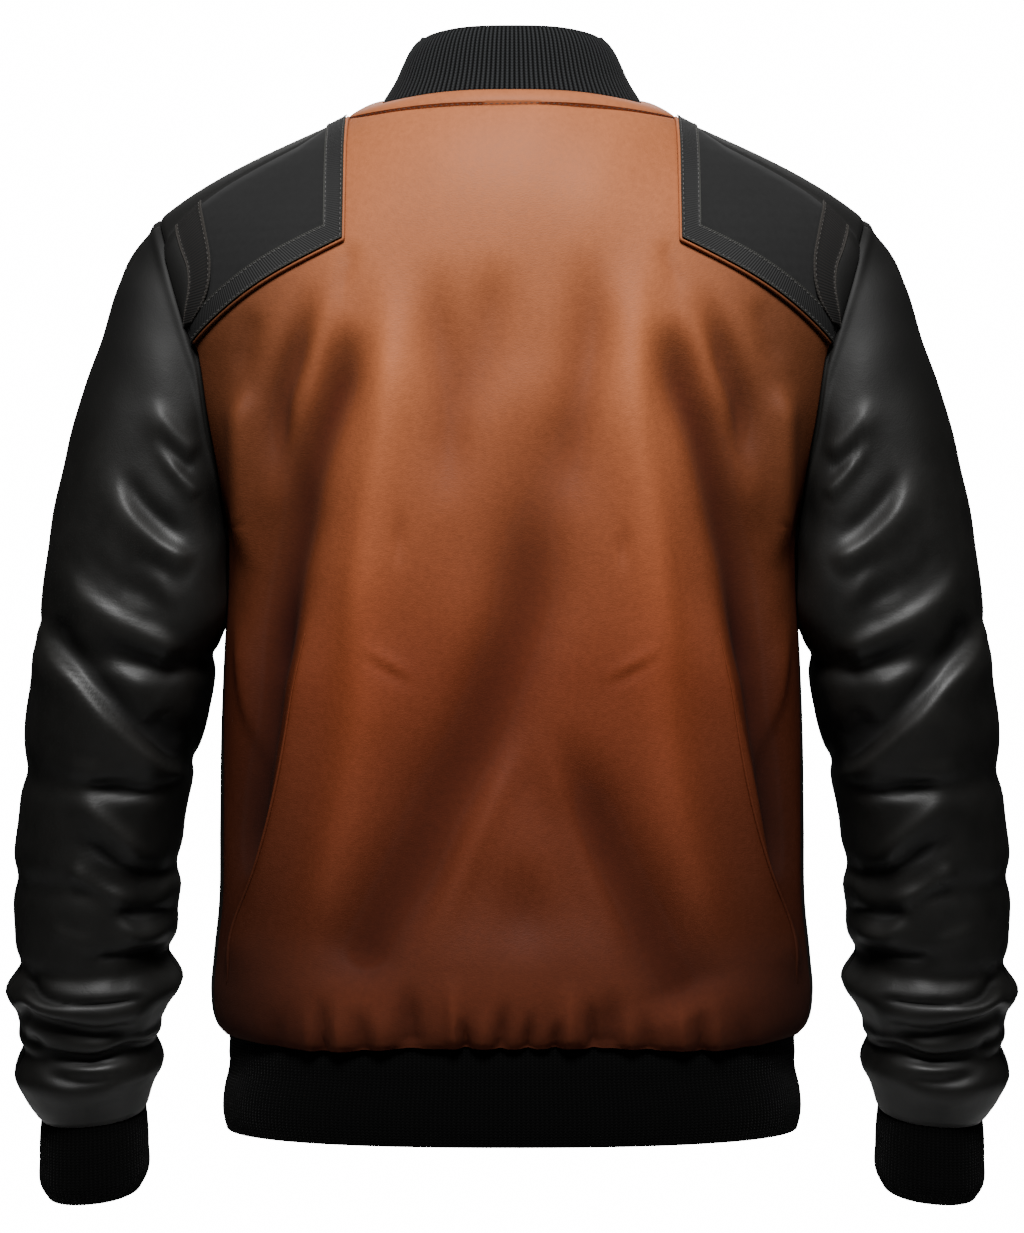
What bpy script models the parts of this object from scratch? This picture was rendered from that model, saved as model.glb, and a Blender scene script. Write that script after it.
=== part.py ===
"""A leather bomber jacket, filled out as it is worn and hollow inside.

The jacket faces -Y and its back faces +Y; the wearer's left is +X and +Z is up. The origin lies midway
between the two points where the neck band meets the shoulder seams. All sizes are in metres.

The body is one hollow form. Each place on it has two parameters: `across`, 0 at the centre line and 1 at
the armhole or side seam, and `down`, -1 on the crest of the shoulder, 0 at mid-armhole and 1 at the hem.
The back and the fronts are cut from that form, and what lies on them is made from the same points.
"""

from collections import namedtuple

import bmesh
import bpy
import numpy as np

# ---------------------------------------------------------------- driving sizes
LEATHER = 0.0015
PATCH_WALL = 0.0011
TAPE_WALL = 0.0010
RIB_WALL = 0.0024
SEAM_GAP = 0.0003
MITRE = 0.0005  # what each edge at a seam gives up for the corner between its facet and the next piece's
LAY_GAP = 0.0006  # between a piece and the faceted panel that it lies on

NECK_HALF_WIDTH = 0.105
NECK_BACK = 0.066  # from the side of the neck to the back of the neckline, and to its front
NECK_FRONT = 0.104
NECK_CREST = -0.0008  # height of the shoulder crest at the side of the neck
NECK_CREST_RISE = 0.0241  # how much higher the form's crest would run at the centre
SHOULDER_HALF_WIDTH = 0.2285
SHOULDER_SLOPE = 0.44
SHOULDER_TURN = 49.6  # the crest falls away faster towards the tip, with the fourth power
SEAM_BEHIND_CREST = 0.020

ARMHOLE_MID = -0.160  # height where the armhole is widest
UNDERARM = -0.268
UNDERARM_Y = 0.004
ARMHOLE_BACK = 0.060
ARMHOLE_FRONT = 0.066
HEM_SEAM = -0.592
HEM_BOTTOM = -0.655
SEAM_CLEAR_OF_FOLDS = 0.034  # folds begin this far behind or in front of the shoulders' line
FOLDS_GROW_OVER = 0.03
SQUARENESS = 2.4  # of the body's level sections, 2 is an ellipse
BACK_ARC = 2.2  # exponent of the arc from crest to mid-armhole, and how much more it is at the nape
BACK_ARC_NAPE = 0.8
FRONT_ARC = 1.4  # the chest slopes more evenly, less so towards the armhole
FRONT_ARC_SIDE = 0.8
FRONT_ARC_FROM = 0.04  # where it begins to change, and over what distance
FRONT_ARC_OVER = 0.15
CREST_SPREAD = 1.5  # how the form's columns spread out from mid-armhole to the crest
ZIP_HALF_GAP = 0.0065  # from the centre line to the front's edge

BAND_REACH = 0.0165  # how far the neck band runs in towards the neck, and its share more at the sides
BAND_SIDE_REACH = 0.32
BAND_RISE = 0.0112
BAND_MITRE = 0.0006  # how far the band's edge stays off the panels' edges
BAND_FRONT_SHARE = 0.65  # of the reach, at the front centre
BAND_FRONT_RISE = 0.004  # more rise there
BAND_SWELL = 0.0012  # of its middle
COLLAR_STEP_IN = 0.0008  # from the band's inner edge, and up from it
COLLAR_STEP_UP = 0.0004
COLLAR_HEIGHT = 0.0423
COLLAR_DIP = 0.11  # share of its height that it loses just in front of the shoulders' line
COLLAR_CORNER = 0.006  # how much lower the top's corners at the zip are
CUFF_HEIGHT = 0.0525
CUFF_AXIS = (-0.012, -0.010, -1.0)
TAPE_WIDTH = 0.012
PATCH_CORNER = -0.089  # height of its inner corner
PATCH_SLOPE = 0.45
PATCH_STEEPEN = 20
PATCH_OFF_SEAM = 0.0006  # from the shoulder seam, and from the armhole seam
PATCH_OFF_ARMHOLE = 0.0022
TAPE_OFF_SEAM = 0.0008
TAPE_INSET = 0.0004  # from the patch's own edge
INSERT_OFF_ARMHOLE = 0.0026

# A row for each level section of the body, from mid-armhole to hem seam.
Level = namedtuple("Level", "depth half_width back front seam_y")
BODY_LEVELS = (
    Level(0.160, 0.2170, 0.1220, 0.1120, 0.004),
    Level(0.195, 0.2085, 0.1245, 0.1185, 0.004),
    Level(0.222, 0.1995, 0.1250, 0.1220, 0.004),
    Level(0.248, 0.1906, 0.1248, 0.1235, 0.004),
    Level(0.268, 0.1845, 0.1240, 0.1240, 0.004),
    Level(0.300, 0.1835, 0.1225, 0.1245, 0.012),
    Level(0.339, 0.1860, 0.1205, 0.1240, 0.022),
    Level(0.400, 0.1885, 0.1165, 0.1215, 0.028),
    Level(0.460, 0.1893, 0.1145, 0.1190, 0.030),
    Level(0.510, 0.1900, 0.1155, 0.1185, 0.030),
    Level(0.545, 0.1935, 0.1190, 0.1205, 0.030),
    Level(0.568, 0.1950, 0.1205, 0.1215, 0.030),
    Level(0.584, 0.1925, 0.1180, 0.1190, 0.030),
    Level(0.592, 0.1885, 0.1145, 0.1160, 0.030),
)

# A row for each section of the left sleeve, from armhole to cuff: its outermost and innermost points,
# its half depth, how far forward its middle lies, and the exponent of its inner half, which is squarer
# where the sleeve rests against the body.
Ring = namedtuple("Ring", "along outer_x outer_z inner_x inner_z half_depth forward inner_square")
SLEEVE_RINGS = (
    Ring(0.000, 0.2285, -0.0660, 0.1845, -0.268, 0.0630, 0.000, 2.2),
    Ring(0.024, 0.2492, -0.0960, 0.1835, -0.279, 0.0680, 0.000, 2.6),
    Ring(0.056, 0.2672, -0.1480, 0.1825, -0.289, 0.0700, 0.000, 3.2),
    Ring(0.090, 0.2845, -0.2000, 0.1822, -0.302, 0.0705, 0.000, 3.8),
    Ring(0.133, 0.2990, -0.2660, 0.1830, -0.321, 0.0695, 0.000, 4.0),
    Ring(0.175, 0.3071, -0.3260, 0.1905, -0.345, 0.0670, 0.002, 2.8),
    Ring(0.225, 0.3155, -0.3820, 0.1975, -0.388, 0.0650, 0.008, 2.2),
    Ring(0.269, 0.3195, -0.4300, 0.2080, -0.427, 0.0610, 0.016, 2.2),
    Ring(0.318, 0.3265, -0.4800, 0.2160, -0.474, 0.0570, 0.025, 2.2),
    Ring(0.368, 0.3270, -0.5300, 0.2200, -0.525, 0.0550, 0.035, 2.2),
    Ring(0.409, 0.3265, -0.5700, 0.2255, -0.566, 0.0540, 0.043, 2.2),
    Ring(0.449, 0.3270, -0.6100, 0.2325, -0.605, 0.0500, 0.051, 2.2),
    Ring(0.478, 0.3235, -0.6400, 0.2380, -0.633, 0.0450, 0.057, 2.2),
    Ring(0.495, 0.3140, -0.6560, 0.2425, -0.6495, 0.0380, 0.060, 2.2),
)
SLEEVE_LENGTH = SLEEVE_RINGS[-1].along
FOREARM_LEAN = 0.19  # how much lower the near side of a forearm section lies, for each metre of depth
SLEEVE_SQUARENESS = 2.2
SLEEVE_CLEARANCE = 0.0029  # between the sleeve and the body that it rests against
VALLEY_GAP = 0.0017  # between them at the lower half of the armhole seam
SHOULDER_MITRE = 0.0012  # and along the sleeve at the seam's upper half, where the sleeve turns down
VALLEY_FROM = 70  # degrees round the armhole from the crest where its lower half begins, and how many
VALLEY_OVER = 50  # it takes to come in
SLEEVE_HEAD = 0.10  # how far down the sleeve its sections are drawn to the armhole's own shape
VALLEY_LENGTH = 0.03
FOREARM_FROM = 0.25  # how far down the sleeve the lean comes in

# A row for each large fold. It runs as a bowed line across the garment as seen from behind or in front:
# from (x0, z0) to (x1, z1), bowed sideways at its middle, standing `height` proud, or sunk if negative.
Fold = namedtuple("Fold", "x0 z0 x1 z1 bow height width")
BACK_FOLDS = (
    Fold(0.093, -0.125, 0.158, -0.300, 0.010, -0.0065, 0.017),
    Fold(0.128, -0.135, 0.160, -0.235, 0.004, -0.0030, 0.013),
    Fold(-0.093, -0.135, -0.158, -0.298, -0.010, -0.0060, 0.017),
    Fold(-0.128, -0.140, -0.160, -0.240, -0.004, -0.0030, 0.013),
    Fold(-0.036, -0.190, 0.112, -0.550, 0.006, -0.0070, 0.022),
    Fold(-0.012, -0.385, -0.118, -0.568, -0.004, -0.0055, 0.020),
    Fold(0.066, -0.125, 0.066, -0.330, 0.000, 0.0030, 0.022),
    Fold(-0.075, -0.125, -0.062, -0.330, 0.000, 0.0030, 0.022),
    Fold(0.150, -0.390, 0.174, -0.545, 0.000, -0.0045, 0.013),
    Fold(-0.150, -0.390, -0.174, -0.545, 0.000, -0.0045, 0.013),
)
FRONT_FOLDS = (
    Fold(0.100, -0.150, 0.155, -0.290, 0.008, -0.0050, 0.017),
    Fold(-0.104, -0.160, -0.156, -0.300, -0.008, -0.0050, 0.017),
    Fold(0.050, -0.330, 0.120, -0.555, 0.006, -0.0050, 0.021),
    Fold(-0.056, -0.350, -0.126, -0.560, -0.006, -0.0055, 0.021),
)
SLEEVE_FOLDS = (
    Fold(0.232, -0.215, 0.204, -0.270, 0.004, 0.0040, 0.010),
    Fold(0.252, -0.225, 0.206, -0.292, 0.010, 0.0050, 0.010),
    Fold(0.292, -0.285, 0.212, -0.345, 0.010, 0.0060, 0.011),
    Fold(0.306, -0.335, 0.232, -0.424, 0.006, 0.0070, 0.012),
    Fold(0.288, -0.348, 0.206, -0.418, 0.014, -0.0070, 0.010),
    Fold(0.262, -0.440, 0.218, -0.482, 0.004, 0.0045, 0.010),
    Fold(0.272, -0.492, 0.226, -0.520, 0.004, 0.0045, 0.009),
)

# A row for each roll of leather that runs right round the left forearm.
Roll = namedtuple("Roll", "along height width")
SLEEVE_ROLLS = (
    Roll(0.182, -0.0035, 0.009),
    Roll(0.262, -0.0030, 0.010),
    Roll(0.330, -0.0030, 0.010),
    Roll(0.388, -0.0035, 0.008),
    Roll(0.408, 0.0085, 0.010),
    Roll(0.432, -0.0020, 0.006),
    Roll(0.446, -0.0035, 0.006),
    Roll(0.464, 0.0040, 0.009),
)

# A row for each ring of the rib collar: its share of the height, and how far it leans in at the sides.
Stand = namedtuple("Stand", "share lean")
COLLAR_STANDS = (
    Stand(0.00, 0.0000),
    Stand(0.28, 0.0076),
    Stand(0.60, 0.0140),
    Stand(0.80, 0.0187),
    Stand(0.93, 0.0236),
    Stand(1.00, 0.0280),
)

# A row for each ring of the rib hem and of a rib cuff: its share of the height, and how far in it lies.
Ribbed = namedtuple("Ribbed", "share inset")
HEM_RINGS = (
    Ribbed(0.00, 0.0010),
    Ribbed(0.25, 0.0022),
    Ribbed(0.60, 0.0012),
    Ribbed(0.86, 0.0018),
    Ribbed(1.00, 0.0040),
)
CUFF_RINGS = (
    Ribbed(0.00, 0.0016),
    Ribbed(0.20, 0.0005),
    Ribbed(0.50, 0.0000),
    Ribbed(0.85, 0.0010),
    Ribbed(1.00, 0.0062),
)

# The zip: its tapes lie just inside the fronts' edges, and its slider stands near the neck.
ZIP_TAPE_INNER = 0.0005  # from the centre line
ZIP_TAPE_OUTER = 0.0135
ZIP_PARTED = 0.0018  # the tapes' inner edges above the slider's neck
ZIP_TEETH = 0.0013  # how far teeth stand proud of the tape's two faces
SLIDER_HEIGHT = -0.087
SLIDER_LENGTH = 0.0120
SLIDER_WIDTH = 0.0090
SLIDER_PLATE = 0.0014
POST_WIDTH = 0.0020
POST_LENGTH = 0.0032
BRIDGE_WIDTH = 0.0022
BRIDGE_LENGTH = 0.0076
BRIDGE_WALL = 0.0012
BRIDGE_ROOM = 0.0027  # between the slider's front plate and the bridge
PULL_WIDTH = 0.0072
PULL_LENGTH = 0.0270  # from the hinge's axis to the tab's end
PULL_WALL = 0.0014
PULL_BAR = 0.0008  # half the height of the bar that turns under the bridge
PULL_ARM = 0.0017  # width of each arm beside the window that the bridge passes through
PULL_WINDOW = 0.0058
METAL_BEVEL = 0.0004
BOX_HEIGHT = 0.0085
BOX_WALL = 0.0013

# How finely the pieces are faceted.
SEAM_ROWS = 4  # from shoulder seam to the patch's diagonal edge
ARMHOLE_ROWS = 5  # from there to the underarm
SIDE_ROWS = 10  # from the underarm to the hem seam
NECK_COLUMNS = 5  # from the centre line to the side of the neck, closer together towards the side
SLEEVE_ROWS = 21
FRONT_SLEEVE_COLUMNS = 9
HEM_COLUMNS = 36
CUFF_COLUMNS = 16

BACK, FRONT = 1.0, -1.0
LEFT, RIGHT = 1.0, -1.0


# ---------------------------------------------------------------- tables and curves
def column(table, name):
    """One named column of a table, as an array."""
    return np.array([getattr(row, name) for row in table])


def through(table, key, name, at):
    """A column's value at each place `at` along the column `key`: a cubic through the rows, level with the
    slope between each row's neighbours."""
    places, values = column(table, key), column(table, name)
    slopes = np.gradient(values, places)
    at = np.clip(at, places[0], places[-1])
    low = np.clip(np.searchsorted(places, at, side="right") - 1, 0, len(places) - 2)
    span = places[low + 1] - places[low]
    t = (at - places[low]) / span
    return (
        values[low] * (1 + 2 * t) * (1 - t) ** 2
        + slopes[low] * span * t * (1 - t) ** 2
        + values[low + 1] * t**2 * (3 - 2 * t)
        - slopes[low + 1] * span * t**2 * (1 - t)
    )


def ease(value):
    """0 below 0, 1 above 1, and a smooth step between."""
    t = np.clip(value, 0.0, 1.0)
    return t * t * (3 - 2 * t)


def fold_height(folds, x, z):
    """How far each point (x, z) stands proud: for each fold, a bell across its bowed line, which fades out
    at both ends."""
    total = np.zeros(np.broadcast(x, z).shape)
    for fold in folds:
        run_x, run_z = fold.x1 - fold.x0, fold.z1 - fold.z0
        length = np.hypot(run_x, run_z)
        along = ((x - fold.x0) * run_x + (z - fold.z0) * run_z) / length**2
        across = ((x - fold.x0) * run_z - (z - fold.z0) * run_x) / length
        across = across + fold.bow * 4 * along * (1 - along)
        fade = np.clip(4 * along * (1 - along), 0.0, 1.0) ** 0.7
        total = total + fold.height * fade * np.exp(-((across / fold.width) ** 2))
    return total


# ---------------------------------------------------------------- the body's form
def section_point(depth, angle, side):
    """A point of a level section: a superellipse, angle 0 at the side and a quarter turn at the centre."""
    half_width = through(BODY_LEVELS, "depth", "half_width", depth)
    reach = through(BODY_LEVELS, "depth", "back" if side == BACK else "front", depth)
    x = half_width * np.abs(np.cos(angle)) ** (2 / SQUARENESS)
    y = reach * np.sign(np.sin(angle)) * np.abs(np.sin(angle)) ** (2 / SQUARENESS)
    return x, side * y


def side_angle(depth, side):
    """The angle of the armhole's edge or of the side seam on each level section."""
    mid = ARMHOLE_BACK if side == BACK else ARMHOLE_FRONT
    fall = np.clip((-ARMHOLE_MID - depth) / (UNDERARM - ARMHOLE_MID), 0.0, 1.0)
    hole_y = side * UNDERARM_Y + (mid - side * UNDERARM_Y) * np.sqrt(1 - fall**2)
    seam_y = side * through(BODY_LEVELS, "depth", "seam_y", depth)
    y = np.where(depth < -UNDERARM, hole_y, seam_y)
    back = through(BODY_LEVELS, "depth", "back", depth)
    front = through(BODY_LEVELS, "depth", "front", depth)
    reach = np.where(y * side > 0, back, front)
    return np.arcsin(np.sign(y) * (np.abs(y) / reach) ** (SQUARENESS / 2))


def crest_height(crest_x):
    """The height of the shoulder's crest: nearly straight from the neck, then falling away at the tip."""
    inner = NECK_CREST + NECK_CREST_RISE * (1 - (crest_x / NECK_HALF_WIDTH) ** 4)
    run = np.maximum(crest_x - NECK_HALF_WIDTH, 0.0)
    outer = NECK_CREST - SHOULDER_SLOPE * run - SHOULDER_TURN * run**4
    return np.where(crest_x < NECK_HALF_WIDTH, inner, outer)


def mid_armhole(across, side):
    """The level section at mid-armhole, and its end at the armhole."""
    depth = np.full_like(across, -ARMHOLE_MID)
    edge = side_angle(depth, side)
    x, y = section_point(depth, np.pi / 2 - across * (np.pi / 2 - edge), side)
    return x, y, section_point(depth, edge, side)[0]


def upper_shape(across, side):
    """What the form above mid-armhole hangs between: the crest, the mid-armhole section, and the exponent
    of the arc from one to the other."""
    low_x, low_y, _ = mid_armhole(across, side)
    back_x, _, end_x = mid_armhole(across, BACK)
    lean = np.clip((back_x - NECK_HALF_WIDTH) / (end_x - NECK_HALF_WIDTH), 0.0, 1.0) ** CREST_SPREAD
    crest_x = back_x + (SHOULDER_HALF_WIDTH - end_x) * lean
    if side == BACK:
        nape = np.clip(1 - (low_x / NECK_HALF_WIDTH) ** 2, 0.0, 1.0) ** 2
        exponent = BACK_ARC + BACK_ARC_NAPE * nape
    else:
        exponent = FRONT_ARC + FRONT_ARC_SIDE * ease((low_x - FRONT_ARC_FROM) / FRONT_ARC_OVER)
    return low_x, low_y, crest_x, crest_height(crest_x), exponent


def half_form(across, down, side):
    """The smooth form on one side of the crest, left half: an arc from crest to mid-armhole, and level
    sections below it."""
    low_x, low_y, crest_x, crest_z, exponent = upper_shape(across, side)
    turn = np.clip(down + 1, 0.0, 1.0) * np.pi / 2
    rise = np.abs(np.cos(turn)) ** (2 / exponent)
    reach = np.abs(np.sin(turn)) ** (2 / exponent)
    upper = np.stack([
        low_x + (crest_x - low_x) * rise,
        low_y * reach,
        ARMHOLE_MID + (crest_z - ARMHOLE_MID) * rise,
    ])
    depth = -ARMHOLE_MID + np.maximum(down, 0.0) * (ARMHOLE_MID - HEM_SEAM)
    angle = np.pi / 2 - across * (np.pi / 2 - side_angle(depth, side))
    x, y = section_point(depth, angle, side)
    lower = np.stack([x, y, -depth])
    return np.where(down < 0, upper, lower)


def form_point(across, down, side):
    """The smooth form, left half. A place past the crest, where `down` is below -1, is on the other
    side."""
    across, down = np.broadcast_arrays(np.asarray(across, float), np.asarray(down, float))
    return np.where(down < -1, half_form(across, -2 - down, -side), half_form(across, down, side))


def body_point(across, down, side, lift=0.0):
    """The form with its folds, `lift` out from it. Negative `across` is the right half."""
    across, down = np.broadcast_arrays(np.asarray(across, float), np.asarray(down, float))
    half = np.where(across < 0, RIGHT, LEFT)
    step = 1e-3

    def smooth(a, d):
        point = form_point(np.abs(a), d, side)
        return point * np.stack([np.where(a < 0, -1.0, 1.0), np.ones_like(a), np.ones_like(a)])

    # Central differences of the whole form, kept on one half so that they don't fold at the centre.
    inner = np.clip(np.abs(across), step, 1.0 - step) * half
    along_a = smooth(inner + step * half, down) - smooth(inner - step * half, down)
    along_a = along_a * half
    along_d = smooth(across, np.minimum(down + step, 1.0)) - smooth(across, down - step)
    normal = np.cross(along_a, along_d, axis=0) * side
    normal = normal / np.linalg.norm(normal, axis=0)
    point = smooth(across, down)
    folds = BACK_FOLDS if side == BACK else FRONT_FOLDS
    grown = ease((point[1] * side - SEAM_CLEAR_OF_FOLDS) / FOLDS_GROW_OVER)
    proud = fold_height(folds, point[0], point[2]) * grown
    return point + normal * (proud + lift), normal


def down_at_height(across, height, side):
    """The `down` parameter where the form passes a height, behind the crest."""
    across, height = np.broadcast_arrays(np.asarray(across, float), np.asarray(height, float))
    _, _, _, crest_z, exponent = upper_shape(np.abs(across), side)
    rise = np.clip((height - ARMHOLE_MID) / (crest_z - ARMHOLE_MID), 0.0, 1.0)
    upper = np.arccos(rise ** (exponent / 2)) / (np.pi / 2) - 1
    lower = (ARMHOLE_MID - height) / (ARMHOLE_MID - HEM_SEAM)
    return np.where(height > ARMHOLE_MID, upper, lower)


def down_at_y(across, y, side):
    """The `down` parameter where the form above mid-armhole passes a place `y`, on either side of the
    crest."""
    found = []
    for face in (side, -side):
        _, low_y, _, _, exponent = upper_shape(np.abs(across), face)
        share = np.clip(y / low_y, 0.0, 1.0)
        found.append(np.arcsin(share ** (exponent / 2)) / (np.pi / 2) - 1)
    return np.where(y * side >= 0, found[0], -2 - found[1])


def neck_y(x, side):
    """The plan of the neckline: half an ellipse behind the sides of the neck, and a longer half in
    front."""
    reach = NECK_BACK if side == BACK else NECK_FRONT
    return SEAM_BEHIND_CREST + side * reach * np.sqrt(np.clip(1 - (x / NECK_HALF_WIDTH) ** 2, 0, 1))


def down_at_top(across, side):
    """The `down` parameter of a panel's top edge: the neckline, and outside it the shoulder seam."""
    size = np.abs(across)
    crest_x = upper_shape(size, side)[2]
    y = np.where(size < NECK_ACROSS - 1e-6, neck_y(crest_x, side), SEAM_BEHIND_CREST)
    return down_at_y(size, y, side)


def armhole_angle(index, first, turn_index, last):
    """Where the panels' rows and the sleeve's columns meet on the armhole: angles from the crest, evenly
    spaced to the patch's corner and evenly from there to the underarm."""
    index = np.asarray(index, float)
    upper = first + (turn_index[1] - first) * index / turn_index[0]
    lower = turn_index[1] + (180 - turn_index[1]) * (index - turn_index[0]) / (last - turn_index[0])
    return np.where(index < turn_index[0], upper, lower)


def armhole_down(angle):
    """The `down` parameter on the armhole at an angle from the crest, 90 at mid-armhole."""
    below = np.sin(np.radians(np.clip(angle - 90, 0, 90)))
    return np.where(
        angle < 90, angle / 90 - 1, below * (ARMHOLE_MID - UNDERARM) / (ARMHOLE_MID - HEM_SEAM)
    )


def across_at_x(x):
    """The `across` parameter of a place x on the mid-armhole section."""
    depth = np.full_like(x, -ARMHOLE_MID)
    half_width = through(BODY_LEVELS, "depth", "half_width", depth)
    angle = np.arccos(np.clip(x / half_width, 0, 1) ** (SQUARENESS / 2))
    return (np.pi / 2 - angle) / (np.pi / 2 - side_angle(depth, BACK))


NECK_TURNS = np.linspace(0, np.pi / 2, NECK_COLUMNS + 1)
NECK_SHARES = across_at_x(NECK_HALF_WIDTH * np.sin(NECK_TURNS))
NECK_ACROSS = float(NECK_SHARES[-1])
SEAM_ANGLE = (float(down_at_y(np.array(1.0), np.array(SEAM_BEHIND_CREST), BACK)) + 1) * 90
CORNER_ANGLE = 86.0  # where the patch's lower edge meets the armhole
EDGE_GUESS = -0.3  # the `down` parameter from which the patch's lower edge is found
EDGE_TRIES = 8
BACK_HOLE_ROWS = SEAM_ROWS + ARMHOLE_ROWS
BACK_ARMHOLE = armhole_angle(
    np.arange(BACK_HOLE_ROWS + 1), SEAM_ANGLE, (SEAM_ROWS, CORNER_ANGLE), BACK_HOLE_ROWS
)
FRONT_ARMHOLE = np.linspace(-SEAM_ANGLE, 180, FRONT_SLEEVE_COLUMNS + 1)


def patch_lower_edge(x):
    """The height of the patch's lower edge: a straight slant that steepens towards the armhole."""
    run = np.maximum(x - NECK_HALF_WIDTH, 0.0)
    return PATCH_CORNER - PATCH_SLOPE * run - PATCH_STEEPEN * run**3


# ---------------------------------------------------------------- panels as grids of points
def back_columns():
    """Across shares of the back's columns, centre to armhole: the patch's inner edge, the inner tape's
    edge, and the armhole tape's two edges lie on columns."""
    return np.concatenate([NECK_SHARES, [0.425, 0.58, 0.72, 0.82, 0.925, 1.0]])


def back_rows(across):
    """The `down` parameter of each row (first axis) at each column: seam or neck, then evenly to the
    patch's lower edge, to the underarm and to the hem, each row moved to its own angle on the armhole."""
    size = np.abs(across)
    top = down_at_top(across, BACK)
    corner = np.full_like(size, EDGE_GUESS)
    for _ in range(EDGE_TRIES):
        at_edge = form_point(size, corner, BACK)[0]
        corner = down_at_height(across, patch_lower_edge(at_edge), BACK)
    tape = down_at_height(across, patch_lower_edge(at_edge) + TAPE_WIDTH * 1.1, BACK)
    underarm = down_at_height(across, np.full_like(size, UNDERARM), BACK)
    edge = armhole_down(BACK_ARMHOLE)
    rows = []
    for row in range(SEAM_ROWS + ARMHOLE_ROWS + 1):
        if row < SEAM_ROWS:
            inner = top + (tape - top) * row / (SEAM_ROWS - 1)
        else:
            share = (row - SEAM_ROWS) / ARMHOLE_ROWS
            inner = corner + (underarm - corner) * share
        weight = ease((size - 0.6) / 0.4)
        rows.append(inner + (edge[row] - inner[-1]) * weight)
    for row in range(1, SIDE_ROWS + 1):
        rows.append(underarm + (1 - underarm) * row / SIDE_ROWS)
    return np.array(rows)


def back_grid():
    """(across, down) of every point of the back panel: rows from neck to hem, columns from right to
    left."""
    half = back_columns()
    across = np.concatenate([-half[:0:-1], half])
    down = back_rows(across)
    return np.broadcast_to(across, down.shape).copy(), down


def front_grid():
    """(across, down) of the left front, rows from neckline and shoulder seam to hem, columns from the zip
    to the armhole."""
    across = np.concatenate([NECK_SHARES, np.linspace(NECK_ACROSS, 1, 6)[1:]])
    top = down_at_top(across, FRONT)
    hole_rows = FRONT_SLEEVE_COLUMNS
    underarm = down_at_height(across, np.full_like(across, UNDERARM), FRONT)
    edge = armhole_down(FRONT_ARMHOLE)
    rows = []
    for row in range(hole_rows + 1):
        inner_down = top + (underarm - top) * row / hole_rows
        weight = ease((across - 0.55) / 0.45)
        rows.append(inner_down + (edge[row] - inner_down[-1]) * weight)
    for row in range(1, SIDE_ROWS + 1):
        rows.append(underarm + (1 - underarm) * row / SIDE_ROWS)
    return np.broadcast_to(across, (len(rows), len(across))).copy(), np.array(rows)


def shrink(points, gaps):
    """Moves the border of a grid of points inwards by the gaps: top, bottom, first and last column."""
    points = points.copy()
    for axis, edge, inside, gap in (
        (0, 0, 1, gaps[0]), (0, -1, -2, gaps[1]), (1, 0, 1, gaps[2]), (1, -1, -2, gaps[3]),
    ):
        border = np.take(points, edge, axis=axis)
        away = np.take(points, inside, axis=axis) - border
        length = np.linalg.norm(away, axis=-1, keepdims=True)
        border = border + away / np.maximum(length, 1e-9) * np.minimum(gap, 0.4 * length)
        if axis == 0:
            points[edge] = border
        else:
            points[:, edge] = border
    return points


# ---------------------------------------------------------------- the sleeve's form
def armhole_ring(angle):
    """The armhole as the sleeve sees it, for angles from the crest, over the back, under and up the front:
    its points, the body's outward direction there, and how near the seam is to the underarm."""
    turned = np.where(angle > 180, 360 - angle, angle)
    back, back_out = body_point(np.ones_like(angle), armhole_down(turned), BACK)
    front, front_out = body_point(np.ones_like(angle), armhole_down(turned), FRONT)
    ahead = angle > 180
    valley = ease((turned - VALLEY_FROM) / VALLEY_OVER)
    return np.where(ahead, front, back), np.where(ahead, front_out, back_out), valley


def body_side_x(y, z):
    """How far the body reaches sideways at a place beside it."""
    depth = np.clip(-z, -ARMHOLE_MID, -HEM_SEAM)
    half_width = through(BODY_LEVELS, "depth", "half_width", depth)
    back = through(BODY_LEVELS, "depth", "back", depth)
    front = through(BODY_LEVELS, "depth", "front", depth)
    share = np.abs(y) / np.where(y > 0, back, front)
    return half_width * np.clip(1 - share**SQUARENESS, 0, 1) ** (1 / SQUARENESS)


def sleeve_point(angle, along):
    """The left sleeve. Each section is a superellipse between its outermost and innermost points; rolls
    and folds stand out from it."""
    ring = {name: through(SLEEVE_RINGS, "along", name, along) for name in Ring._fields[1:]}
    turn = np.radians(angle)
    square = np.where(np.cos(turn) < 0, ring["inner_square"], SLEEVE_SQUARENESS)
    side = np.sign(np.cos(turn)) * np.abs(np.cos(turn)) ** (2 / square)
    near = np.sign(np.sin(turn)) * np.abs(np.sin(turn)) ** (2 / square)
    lean = FOREARM_LEAN * ease(along / FOREARM_FROM)
    rolled = np.zeros_like(along)
    for roll in SLEEVE_ROLLS:
        rolled = rolled + roll.height * np.exp(-(((along - roll.along) / roll.width) ** 2))
    width_x, width_z = (ring["outer_x"] - ring["inner_x"]) / 2, (ring["outer_z"] - ring["inner_z"]) / 2
    half_width = np.hypot(width_x, width_z)
    x = (ring["outer_x"] + ring["inner_x"]) / 2 + side * width_x * (1 + rolled / half_width)
    y = -ring["forward"] + near * (ring["half_depth"] + rolled)
    z = (ring["outer_z"] + ring["inner_z"]) / 2 + side * width_z - lean * near * ring["half_depth"]
    proud = fold_height(SLEEVE_FOLDS, x, z) * ease(np.abs(near) * 1.4)
    x = x + proud * side * 0.5
    y = y + proud * near
    return np.stack([x, y, z])


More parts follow.
